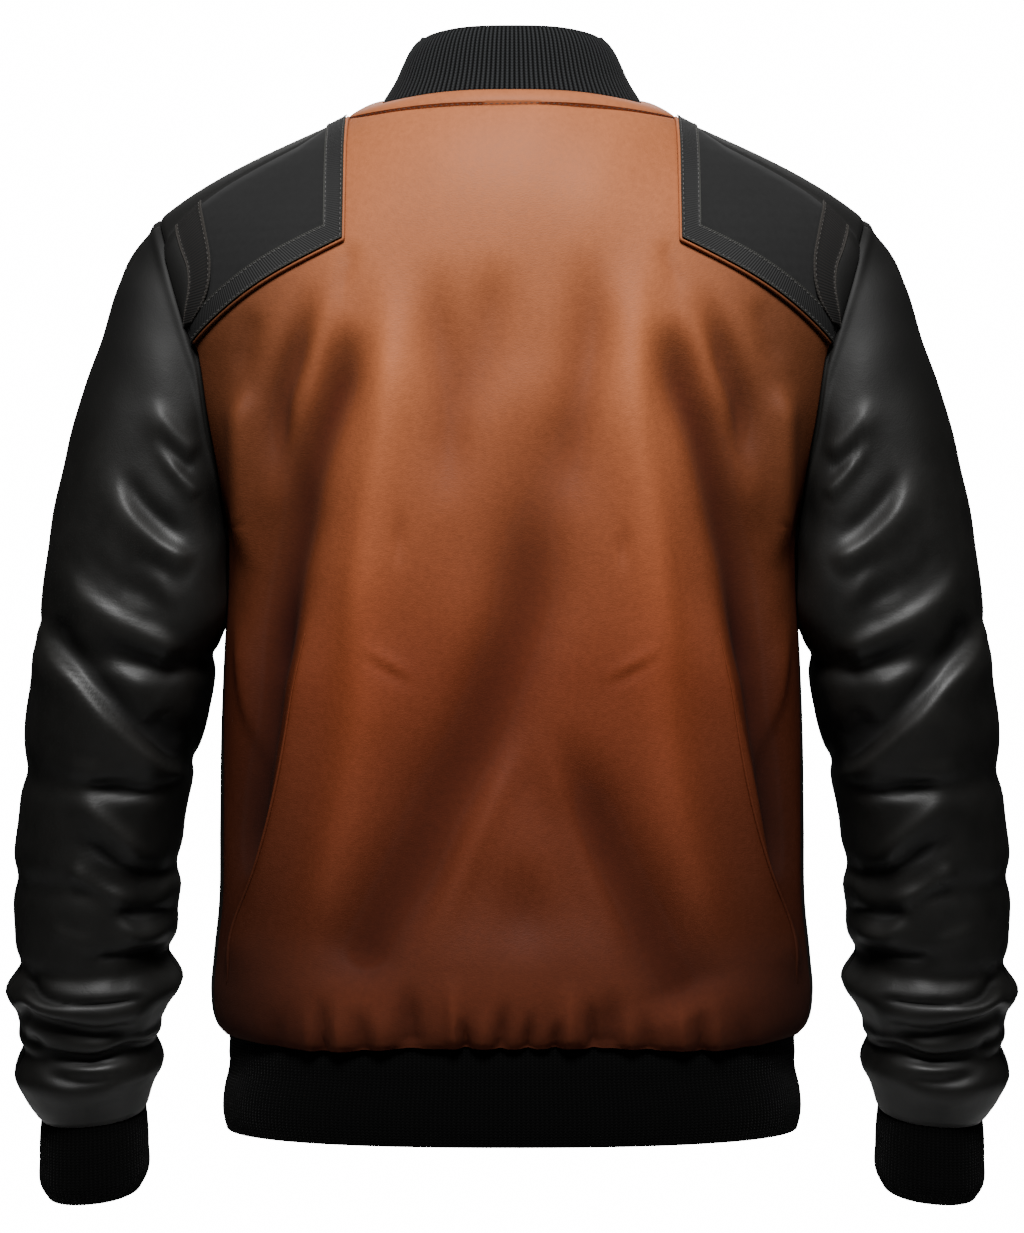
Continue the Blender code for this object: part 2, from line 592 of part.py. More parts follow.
def sleeve_surface(angle, along):
    """sleeve_point, fitted to the armhole at its top and kept clear of the body beside it."""
    angle, along = np.broadcast_arrays(np.asarray(angle, float), np.asarray(along, float))
    point = sleeve_point(angle, along)
    ring, outward, valley = armhole_ring(angle)
    start = ring - sleeve_point(angle, np.zeros_like(along))
    point = point + start * np.clip(1 - along / SLEEVE_HEAD, 0, 1) ** 2
    point = point + outward * VALLEY_GAP * valley * np.clip(1 - along / VALLEY_LENGTH, 0, 1)
    clear = body_side_x(point[1], point[2]) + SLEEVE_CLEARANCE
    beside = (point[2] < ARMHOLE_MID) & (along > 0.001)
    point[0] = np.where(beside, np.maximum(point[0], clear), point[0])
    return point


# ---------------------------------------------------------------- making meshes
def material(name, colour, roughness, metallic=0.0):
    """One Principled material."""
    made = bpy.data.materials.new(name)
    made.use_nodes = True
    shader = made.node_tree.nodes["Principled BSDF"]
    shader.inputs["Base Color"].default_value = (*colour, 1.0)
    shader.inputs["Roughness"].default_value = roughness
    shader.inputs["Metallic"].default_value = metallic
    made.diffuse_color = (*colour, 1.0)
    return made


def add_object(name, mesh, finish):
    """Puts a mesh into the jacket's collection under its name, smooth with sharp edges kept."""
    for polygon in mesh.polygons:
        polygon.use_smooth = True
    mesh.set_sharp_from_angle(angle=np.radians(45))
    mesh.materials.append(finish)
    made = bpy.data.objects.new(name, mesh)
    bpy.data.collections["leather_bomber_jacket"].objects.link(made)
    return made


def sheet(name, points, wall, finish, keep=None, flip=False):
    """A piece of cloth: a grid bent to the points (rows, columns, 3) of its outer face, with a wall
    inwards. `keep` says which of the grid's faces are cut out of it."""
    rows, columns = points.shape[0] - 1, points.shape[1] - 1
    grid = bmesh.new()
    bmesh.ops.create_grid(grid, x_segments=columns, y_segments=rows, size=0.5)
    for face in list(grid.faces):
        middle = face.calc_center_median()
        row = int((0.5 - middle.y) * rows)
        place = int((middle.x + 0.5) * columns)
        if keep is not None and not keep[row][place]:
            bmesh.ops.delete(grid, geom=[face], context="FACES")
    for vertex in grid.verts:
        row = round((0.5 - vertex.co.y) * rows)
        place = round((vertex.co.x + 0.5) * columns)
        vertex.co = points[row, place]
    bmesh.ops.remove_doubles(grid, verts=grid.verts, dist=1e-6)
    if flip:
        bmesh.ops.reverse_faces(grid, faces=grid.faces)
    mesh = bpy.data.meshes.new(name)
    grid.to_mesh(mesh)
    grid.free()
    made = add_object(name, mesh, finish)
    thicken = made.modifiers.new("wall", "SOLIDIFY")
    thicken.thickness = wall
    thicken.offset = -1.0
    thicken.use_even_offset = True
    return made


def mirrored(points):
    """The same grid of points on the other side of the centre line, columns in the same order."""
    return points * np.array([-1.0, 1.0, 1.0])


def last_axis(points):
    """Turns arrays of x, y and z into one array of points."""
    return np.moveaxis(points, 0, -1)


# ---------------------------------------------------------------- the pieces
def build_back(leather, patch_cloth, tape_cloth, insert_leather):
    """The back panel, and on each shoulder a patch, its two edge tapes in one, the armhole tape and the
    insert between that tape and the armhole."""
    across, down = back_grid()
    panel, _ = body_point(across, down, BACK)
    seam = SEAM_GAP / 2 + MITRE
    sheet("back_panel", shrink(last_axis(panel), (seam, SEAM_GAP / 2, seam, seam)), LEATHER, leather)
    first = len(back_columns()) - 1 + NECK_COLUMNS  # the left patch's inner column
    laid, _ = body_point(across, down, BACK, LAY_GAP + PATCH_WALL)
    taped, _ = body_point(across, down, BACK, 2 * LAY_GAP + PATCH_WALL + TAPE_WALL)
    laid, taped = last_axis(laid), last_axis(taped)
    patch_rows = slice(0, SEAM_ROWS + 1)
    for side, name in ((LEFT, "left"), (RIGHT, "right")):
        if side == LEFT:
            columns = slice(first, None)
            turn = slice(None)
        else:
            columns = slice(0, across.shape[1] - first)
            turn = slice(None, None, -1)
        patch = laid[patch_rows, columns][:, turn]
        tape = taped[patch_rows, columns][:, turn]
        flip = side == RIGHT
        patch = shrink(patch, (PATCH_OFF_SEAM, 0, 0, PATCH_OFF_ARMHOLE))
        sheet(f"shoulder_patch_{name}", patch, PATCH_WALL, patch_cloth, flip=flip)
        strips = patch.shape[1] - 1
        edge_part = []
        for row in range(SEAM_ROWS):
            lowest = row == SEAM_ROWS - 1
            edge_part.append([(place == 0 or lowest) and place < strips - 2 for place in range(strips)])
        edging = shrink(tape, (TAPE_OFF_SEAM, TAPE_INSET, TAPE_INSET, PATCH_OFF_ARMHOLE))
        sheet(f"patch_edge_tape_{name}", edging, TAPE_WALL, tape_cloth, keep=edge_part, flip=flip)
        band_gaps = (TAPE_OFF_SEAM, TAPE_INSET, TAPE_INSET, TAPE_INSET / 2)
        band = shrink(tape[:, strips - 2 : strips], band_gaps)
        sheet(f"armhole_tape_{name}", band, TAPE_WALL, tape_cloth, flip=flip)
        insert_gaps = (TAPE_OFF_SEAM, TAPE_INSET, TAPE_INSET / 2, INSERT_OFF_ARMHOLE)
        insert = shrink(tape[:SEAM_ROWS, strips - 1 :], insert_gaps)
        sheet(f"shoulder_insert_{name}", insert, TAPE_WALL, insert_leather, flip=flip)


def build_fronts(leather):
    """The two fronts, from the zip to the side seams, over the shoulders' crest to the shoulder seams."""
    across, down = front_grid()
    panel, _ = body_point(across, down, FRONT)
    panel = last_axis(panel)
    panel[:, 0, 0] = ZIP_HALF_GAP
    seam = SEAM_GAP / 2 + MITRE
    panel = shrink(panel, (seam, SEAM_GAP / 2, 0.0, seam))
    sheet("front_left", panel, LEATHER, leather, flip=True)
    sheet("front_right", mirrored(panel), LEATHER, leather)


def build_sleeves(leather):
    """Two-piece sleeves: a back half and a front half, joined over and under the arm."""
    along = np.concatenate([
        np.linspace(0.0, 0.375, SLEEVE_ROWS - 8, endpoint=False), np.linspace(0.375, SLEEVE_LENGTH, 9)
    ])
    for half, angles in (("back", BACK_ARMHOLE), ("front", 360 - FRONT_ARMHOLE[::-1])):
        points = sleeve_surface(angles[None, :], along[:, None])
        seam = SEAM_GAP / 2 + MITRE
        valley = armhole_ring(angles)[2][:, None]
        top = SHOULDER_MITRE * (1 - valley) + SEAM_GAP * valley
        grid = shrink(last_axis(points), (top, 0.0, seam, seam))
        sheet(f"sleeve_{half}_left", grid, LEATHER, leather)
        sheet(f"sleeve_{half}_right", mirrored(grid), LEATHER, leather, flip=True)


def build_cuffs(rib):
    """Rib-knit cuffs: a tube that goes on from the sleeve's end, swells a little and turns in at its
    edge."""
    angle = np.linspace(0, 360, CUFF_COLUMNS + 1)[:-1]
    end = sleeve_point(angle, np.full_like(angle, SLEEVE_LENGTH))
    middle = end.mean(axis=1, keepdims=True)
    radial = end - middle
    half_width = np.linalg.norm(radial, axis=0).max()
    axis = np.array(CUFF_AXIS)[:, None]
    axis = axis / np.linalg.norm(axis)
    rings = []
    for ring in CUFF_RINGS:
        down = axis * (CUFF_HEIGHT * ring.share + SEAM_GAP)
        rings.append(middle + radial * (1 - ring.inset / half_width) + down)
    points = last_axis(np.stack(rings, axis=1))
    points = np.concatenate([points, points[:, :1]], axis=1)
    sheet("cuff_left", points, RIB_WALL, rib)
    sheet("cuff_right", mirrored(points), RIB_WALL, rib, flip=True)


def hem_ring(angle, ring):
    """A level ring of the rib hem."""
    level = np.full_like(angle, -HEM_SEAM)
    x, back_y = section_point(level, angle, BACK)
    _, front_y = section_point(level, -angle, FRONT)
    y = np.where(np.sin(angle) >= 0, back_y, front_y)
    height = HEM_SEAM - 2 * SEAM_GAP - HEM_BOTTOM
    z = np.full_like(x, HEM_BOTTOM + height * (1 - ring.share))
    waist = BODY_LEVELS[-1]
    x = np.sign(np.cos(angle)) * x * (1 - ring.inset / waist.half_width)
    return np.stack([x, y * (1 - ring.inset / waist.front), z])


def build_hem(rib):
    """The rib-knit hem: a band round the waist from one zip edge to the other."""
    angle = np.radians(np.linspace(-90, 270, HEM_COLUMNS + 1))
    points = last_axis(np.stack([hem_ring(angle, ring) for ring in HEM_RINGS], axis=1))
    points[:, 0, 0] = ZIP_HALF_GAP
    points[:, -1, 0] = -ZIP_HALF_GAP
    sheet("hem_rib", points, RIB_WALL, rib, flip=True)


def neckline(turn):
    """The edge of the body's panels round the neck, for turns from -90 degrees at the front centre, over
    the left shoulder and the back, to 270."""
    crest_x = NECK_HALF_WIDTH * np.cos(turn)
    across = across_at_x(np.abs(crest_x)) * np.where(crest_x < 0, RIGHT, LEFT)
    points = []
    for side in (BACK, FRONT):
        down = down_at_y(np.abs(across), neck_y(crest_x, side), side)
        points.append(body_point(across, down, side)[0])
    return np.where(np.sin(turn) > 0, points[0], points[1]).T


def build_collar(leather, rib):
    """The leather neck band, which slopes in from the panels' edge, and the rib collar that stands on
    it."""
    turn = np.radians(np.linspace(-90, 270, 4 * NECK_COLUMNS + 1))
    edge = neckline(turn)
    outwards = np.stack([np.cos(turn), np.sin(turn), np.zeros_like(turn)], axis=1)
    up = np.array([0.0, 0.0, 1.0])
    front = np.clip(-np.sin(turn), 0, 1)[:, None]
    dip = COLLAR_DIP * np.exp(-(((np.sin(turn) + 0.17) / 0.5) ** 2))[:, None]
    band = []
    for share, swell in ((0.0, 0.0), (0.5, BAND_SWELL), (1.0, 0.0)):
        reach = BAND_REACH * (1 + BAND_SIDE_REACH * outwards[:, :1] ** 2)
        reach = reach * (1 - (1 - BAND_FRONT_SHARE) * front)
        rise = BAND_RISE + BAND_FRONT_RISE * front
        band.append(edge - outwards * reach * share + up * (rise * share + swell))
    base = band[-1] - outwards * COLLAR_STEP_IN + up * (SEAM_GAP + COLLAR_STEP_UP)
    collar = []
    for ring in COLLAR_STANDS:
        lean = ring.lean * (1 - 0.3 * np.abs(outwards[:, 1:2]))
        collar.append(base - outwards * lean + up * COLLAR_HEIGHT * (1 - dip) * ring.share)
    band, collar = np.stack(band), np.stack(collar)
    for piece in (band, collar):
        piece[:, 0, 0] = ZIP_HALF_GAP
        piece[:, -1, 0] = -ZIP_HALF_GAP
    ends, beside = collar[-1, [0, -1]], collar[-1, [1, -2]]
    collar[-1, [0, -1]] = ends + (beside - ends) * 0.3 - up * COLLAR_CORNER
    sheet("neck_band", shrink(band, (BAND_MITRE, 0.0, 0.0, 0.0)), LEATHER, leather, flip=True)
    sheet("collar_rib", collar, RIB_WALL, rib, flip=True)


# ---------------------------------------------------------------- the zip
def zip_line():
    """The middle of the zip's outer face, from the neckline to the hem's bottom edge: down the fronts'
    inner face, and then the hem's."""
    down = front_grid()[1][:, 0]
    face, outward = body_point(np.zeros_like(down), down, FRONT)
    line = (face - outward * (LEATHER + LAY_GAP)).T[:-1]
    hem = np.array([hem_ring(np.array([-np.pi / 2]), ring)[:, 0] for ring in HEM_RINGS])
    inset = np.maximum.accumulate(column(HEM_RINGS, "inset"))
    inset[-2] = inset[-1]
    hem[:, 1] = RIB_WALL + LAY_GAP + inset - BODY_LEVELS[-1].front
    hem[-1, 2] += BOX_WALL + SEAM_GAP
    return np.concatenate([line, hem])


def slider_frame():
    """Where the slider stands on the zip, and its directions: across, up the zip, and out."""
    line = zip_line()
    y = np.interp(-SLIDER_HEIGHT, -line[:, 2], line[:, 1])
    ends = [np.interp(-SLIDER_HEIGHT + step, -line[:, 2], line[:, 1]) for step in (-0.008, 0.008)]
    up = np.array([0.0, ends[0] - ends[1], 0.016])
    up = up / np.linalg.norm(up)
    across = np.array([1.0, 0.0, 0.0])
    return np.array([0.0, y, SLIDER_HEIGHT]), across, up, np.cross(across, up)


def block(name, low, high, frame, bevel=0.0):
    """A box with eased edges between two corners, given as (across, up, out) from the slider's place."""
    place, across, up, out = frame
    made = bmesh.new()
    bmesh.ops.create_cube(made, size=1.0)
    for vertex in made.verts:
        at = [a + (b - a) * (c + 0.5) for a, b, c in zip(low, high, vertex.co)]
        vertex.co = place + across * at[0] + up * at[1] + out * at[2]
    bmesh.ops.recalc_face_normals(made, faces=made.faces)
    if bevel:
        bmesh.ops.bevel(
            made, geom=list(made.edges), offset=bevel, segments=2, profile=0.5, affect="EDGES",
            clamp_overlap=True,
        )
    mesh = bpy.data.meshes.new(name)
    made.to_mesh(mesh)
    made.free()
    return mesh


def cutter(name, mesh):
    """A hidden helper for a Boolean."""
    made = bpy.data.objects.new(name, mesh)
    made.hide_render = True
    made.display_type = "WIRE"
    bpy.data.collections["cutters"].objects.link(made)
    return made


def boolean(target, helper, operation):
    """Joins a helper to a piece, or cuts it away."""
    made = target.modifiers.new(helper.name, "BOOLEAN")
    made.operation = operation
    made.solver = "EXACT"
    made.object = helper


def build_zip(tape_cloth, metal):
    """The zip: two tapes, a slider with a bridge on its front plate, a pull that turns under the bridge,
    and the box that holds the tapes' lower ends."""
    line = zip_line()
    parted = ease((line[:, 2] - SLIDER_HEIGHT - 0.001) / 0.002)
    inner = ZIP_TAPE_INNER + (ZIP_PARTED - ZIP_TAPE_INNER) * parted
    tape = np.stack([line, line], axis=1)
    tape[:, 0, 0] = inner
    tape[:, 1, 0] = ZIP_TAPE_OUTER
    sheet("zip_tape_left", tape, TAPE_WALL, tape_cloth, flip=True)
    sheet("zip_tape_right", mirrored(tape), TAPE_WALL, tape_cloth)

    frame = slider_frame()
    half, reach = SLIDER_WIDTH / 2, SLIDER_LENGTH / 2
    front = ZIP_TEETH + SEAM_GAP
    back = -TAPE_WALL - front
    top = front + SLIDER_PLATE
    plate = block("front_plate", (-half, -reach, front), (half, reach, top), frame, METAL_BEVEL)
    slider = add_object("zip_slider", plate, metal)
    low_plate = (-half, -reach, back - SLIDER_PLATE), (half, reach, back)
    overlap = METAL_BEVEL
    post = (-POST_WIDTH / 2, reach - POST_LENGTH, back - overlap), (POST_WIDTH / 2, reach, front + overlap)
    rise = top + BRIDGE_ROOM
    roof = rise + BRIDGE_WALL
    foot = BRIDGE_LENGTH / 2
    wide = BRIDGE_WIDTH / 2
    parts = {
        "back_plate": (*low_plate, METAL_BEVEL),
        "post": (*post, 0.0),
        "bridge_top_leg": ((-wide, foot - BRIDGE_WALL, top - overlap), (wide, foot, roof), 0.0),
        "bridge_low_leg": ((-wide, -foot, top - overlap), (wide, BRIDGE_WALL - foot, roof), 0.0),
        "bridge_span": ((-wide, -foot, rise), (wide, foot, roof), 0.0),
    }
    for name, (low, high, bevel) in parts.items():
        boolean(slider, cutter(name, block(name, low, high, frame, bevel)), "UNION")

    axis = frame[0] + frame[3] * (top + BRIDGE_ROOM / 2)
    local = (np.zeros(3), *frame[1:])
    side = PULL_WIDTH / 2
    face = PULL_WALL / 2
    tab = block("pull_tab", (-side, -PULL_LENGTH, -face), (side, PULL_BAR, face), local, METAL_BEVEL)
    pull = add_object("zip_pull", tab, metal)
    pull.location = axis
    reach = side - PULL_ARM
    through_tab = 3 * face
    low_corner = (-reach, -PULL_BAR - PULL_WINDOW, -through_tab)
    window = block("pull_window", low_corner, (reach, -PULL_BAR, through_tab), local)
    hole = cutter("pull_window", window)
    hole.location = axis
    boolean(pull, hole, "DIFFERENCE")

    low = HEM_BOTTOM - line[-1, 2]
    level = (line[-1], np.array([1.0, 0.0, 0.0]), np.array([0.0, 0.0, 1.0]), np.array([0.0, -1.0, 0.0]))
    wide = ZIP_HALF_GAP - 2 * SEAM_GAP
    room = (-TAPE_WALL - ZIP_TEETH, ZIP_TEETH)
    outer = ((-wide, low, room[0] - BOX_WALL), (wide, low + BOX_HEIGHT, room[1] + BOX_WALL))
    box = add_object("zip_box", block("box", *outer, level, METAL_BEVEL), metal)
    slot = ((-2 * wide, low + BOX_WALL, room[0]), (2 * wide, low + 2 * BOX_HEIGHT, room[1]))
    boolean(box, cutter("box_slot", block("box_slot", *slot, level)), "DIFFERENCE")


def main():
    for old in list(bpy.data.objects):
        bpy.data.objects.remove(old, do_unlink=True)
    jacket = bpy.data.collections.new("leather_bomber_jacket")
    bpy.context.scene.collection.children.link(jacket)
    cutters = bpy.data.collections.new("cutters")
    bpy.context.scene.collection.children.link(cutters)
    tan = material("tan_leather", (0.33, 0.10, 0.035), 0.45)
    black = material("black_leather", (0.02, 0.02, 0.02), 0.35)
    rib = material("black_rib_knit", (0.015, 0.015, 0.016), 0.9)
    patch = material("black_patch_cloth", (0.028, 0.028, 0.028), 0.8)
    tape = material("black_tape", (0.035, 0.035, 0.035), 0.85)
    metal = material("zip_metal", (0.30, 0.29, 0.27), 0.35, 1.0)
    build_back(tan, patch, tape, black)
    build_fronts(black)
    build_sleeves(black)
    build_cuffs(rib)
    build_hem(rib)
    build_collar(tan, rib)
    build_zip(tape, metal)


main()
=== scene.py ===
"""The looks of a leather bomber jacket: a tan back, black sleeves and fronts, rib-knit collar, cuffs and hem.

Laid out as a Blender add-on: one operator makes each piece or group of like pieces, and one the stage.
The jacket faces -Y, its back faces +Y, the wearer's left is +X and Z is up. Sizes are in metres, except
in the crease tables, which are in millimetres.
"""

from collections import namedtuple

import bpy
import numpy as np
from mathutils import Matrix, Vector


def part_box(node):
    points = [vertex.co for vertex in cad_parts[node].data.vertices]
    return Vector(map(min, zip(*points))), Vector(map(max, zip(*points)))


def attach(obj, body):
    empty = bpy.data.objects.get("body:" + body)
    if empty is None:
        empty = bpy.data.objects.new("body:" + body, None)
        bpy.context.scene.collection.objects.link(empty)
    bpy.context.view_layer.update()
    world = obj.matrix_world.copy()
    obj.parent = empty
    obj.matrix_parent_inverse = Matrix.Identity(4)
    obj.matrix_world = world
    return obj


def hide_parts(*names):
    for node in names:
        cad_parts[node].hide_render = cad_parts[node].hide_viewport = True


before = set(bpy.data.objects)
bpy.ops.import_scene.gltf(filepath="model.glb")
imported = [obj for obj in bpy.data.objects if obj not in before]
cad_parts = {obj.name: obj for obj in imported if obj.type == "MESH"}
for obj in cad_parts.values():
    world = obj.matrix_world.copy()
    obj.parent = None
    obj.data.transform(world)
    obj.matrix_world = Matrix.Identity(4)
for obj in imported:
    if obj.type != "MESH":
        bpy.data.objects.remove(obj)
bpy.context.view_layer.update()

bl_info = {
    "name": "Leather bomber jacket",
    "version": (1, 0, 0),
    "blender": (4, 5, 0),
    "location": "3D View > Sidebar > Jacket",
    "description": "Makes the leather, knit, tape, stitching and zip of a bomber jacket",
    "category": "Add Mesh",
}

MM = 0.001
BACK, FRONT = 1.0, -1.0
LEFT, RIGHT = 1.0, -1.0

# ---- the pattern's fixed sizes
SEAM_GAP = 0.0003
LAY_GAP = 0.0006  # between a piece and what it is sewn on to
NECK_HALF_WIDTH = 0.105
NECK_BACK = 0.066
NECK_FRONT = 0.104
NECK_CREST = -0.0008
NECK_CREST_RISE = 0.0241
SHOULDER_HALF_WIDTH = 0.2285
SHOULDER_SLOPE = 0.44
SHOULDER_TURN = 49.6
SEAM_BEHIND_CREST = 0.020
SEAM_FALL = 0.022  # how much further back the shoulder seam lies outside the neck
ARMHOLE_MID = -0.160
UNDERARM = -0.268
UNDERARM_Y = 0.004
ARMHOLE_BACK = 0.060
ARMHOLE_FRONT = 0.066
HEM_SEAM = -0.592
HEM_BOTTOM = -0.655
SQUARENESS = 2.4
ZIP_HALF_GAP = 0.0065
BAND_REACH = 0.0165
BAND_SIDE_REACH = 0.32
BAND_RISE = 0.0084
COLLAR_HEIGHT = 0.0449
COLLAR_DIP = 0.11
CUFF_HEIGHT = 0.0525
PATCH_LIFT = LAY_GAP + 0.0011
TAPE_LIFT = PATCH_LIFT + LAY_GAP + 0.0010
CURVED_TAPE_LIFT = TAPE_LIFT + 0.0012
STITCH_LIFT = 0.0002

def table(kind, *rows):
    """Rows of numbers, with the names that a namedtuple gives them."""
    return tuple(kind(*row) for row in rows)


Level = namedtuple("Level", "depth half_width back front seam_y")
BODY_LEVELS = table(
    Level,
    (0.160, 0.2170, 0.1220, 0.1120, 0.004),
    (0.195, 0.2085, 0.1245, 0.1185, 0.004),
    (0.222, 0.1995, 0.1250, 0.1220, 0.004),
    (0.248, 0.1906, 0.1248, 0.1235, 0.004),
    (0.268, 0.1845, 0.1240, 0.1240, 0.004),
    (0.300, 0.1835, 0.1225, 0.1245, 0.012),
    (0.339, 0.1860, 0.1205, 0.1240, 0.022),
    (0.400, 0.1885, 0.1165, 0.1215, 0.028),
    (0.460, 0.1893, 0.1145, 0.1190, 0.030),
    (0.510, 0.1900, 0.1155, 0.1185, 0.030),
    (0.545, 0.1935, 0.1190, 0.1205, 0.030),
    (0.568, 0.1950, 0.1205, 0.1215, 0.030),
    (0.584, 0.1925, 0.1180, 0.1190, 0.030),
    (0.592, 0.1885, 0.1145, 0.1160, 0.030),
)

Ring = namedtuple("Ring", "along outer_x outer_z inner_x inner_z half_depth forward inner_square")
SLEEVE_RINGS = table(
    Ring,
    (0.000, 0.2285, -0.0660, 0.1845, -0.268, 0.0630, 0.000, 2.2),
    (0.024, 0.2492, -0.0960, 0.1835, -0.279, 0.0680, 0.000, 2.6),
    (0.056, 0.2672, -0.1480, 0.1825, -0.289, 0.0700, 0.000, 3.2),
    (0.090, 0.2845, -0.2000, 0.1822, -0.302, 0.0705, 0.000, 3.8),
    (0.133, 0.2990, -0.2660, 0.1830, -0.321, 0.0695, 0.000, 4.0),
    (0.175, 0.3071, -0.3260, 0.1905, -0.345, 0.0670, 0.002, 2.8),
    (0.225, 0.3155, -0.3820, 0.1975, -0.388, 0.0650, 0.008, 2.2),
    (0.269, 0.3195, -0.4300, 0.2080, -0.427, 0.0610, 0.016, 2.2),
    (0.318, 0.3265, -0.4800, 0.2160, -0.474, 0.0570, 0.025, 2.2),
    (0.368, 0.3270, -0.5300, 0.2200, -0.525, 0.0550, 0.035, 2.2),
    (0.409, 0.3265, -0.5700, 0.2255, -0.566, 0.0540, 0.043, 2.2),
    (0.449, 0.3270, -0.6100, 0.2325, -0.605, 0.0500, 0.051, 2.2),
    (0.478, 0.3235, -0.6400, 0.2380, -0.633, 0.0450, 0.057, 2.2),
    (0.495, 0.3140, -0.6560, 0.2425, -0.6495, 0.0380, 0.060, 2.2),
)
SLEEVE_LENGTH = SLEEVE_RINGS[-1].along
FOREARM_LEAN = 0.19
SLEEVE_SQUARENESS = 2.2
SLEEVE_CLEARANCE = 0.0029
CREASED_CLEARANCE = 0.0023  # the least that the sleeve's creases leave of it
VALLEY_GAP = 0.0017

Roll = namedtuple("Roll", "along height width")
SLEEVE_ROLLS = table(
    Roll,
    (0.182, -0.0035, 0.009), (0.262, -0.0030, 0.010), (0.330, -0.0030, 0.010), (0.388, -0.0035, 0.008),
    (0.408, 0.0075, 0.010), (0.432, -0.0020, 0.006), (0.446, -0.0035, 0.006), (0.464, 0.0040, 0.009),
)

Stand = namedtuple("Stand", "share lean")
COLLAR_STANDS = table(
    Stand,
    (0.00, 0.0000), (0.28, 0.0076), (0.60, 0.0140), (0.80, 0.0187), (0.93, 0.0236), (1.00, 0.0280),
)
Ribbed = namedtuple("Ribbed", "share inset")
HEM_RINGS = table(Ribbed, (0.0, 0.0010), (0.25, 0.0022), (0.6, 0.0012), (0.86, 0.0018), (1.0, 0.0040))
CUFF_RINGS = table(Ribbed, (0.0, 0.0016), (0.2, 0.0005), (0.5, 0.0), (0.85, 0.0010), (1.0, 0.0062))

# ---- creases, in millimetres
# A row for each crease. It runs through the places of its path, which gives x and z of each in turn, seen
# from behind or from the front, and stands `height` proud, or sunk if negative. Its side on the left as the
# path runs is `left` wide and its other side `right`, so that one flank can be steep and the other gentle.
Crease = namedtuple("Crease", "path height left right start end", defaults=(0.35, 0.35))


def gathers(end, *rows):
    """Short creases down to a seam. Each row has the place x, z where it starts, the place where it ends,
    its height, left and right."""
    return tuple(Crease(row[:4], *row[4:], 0.6, end) for row in rows)


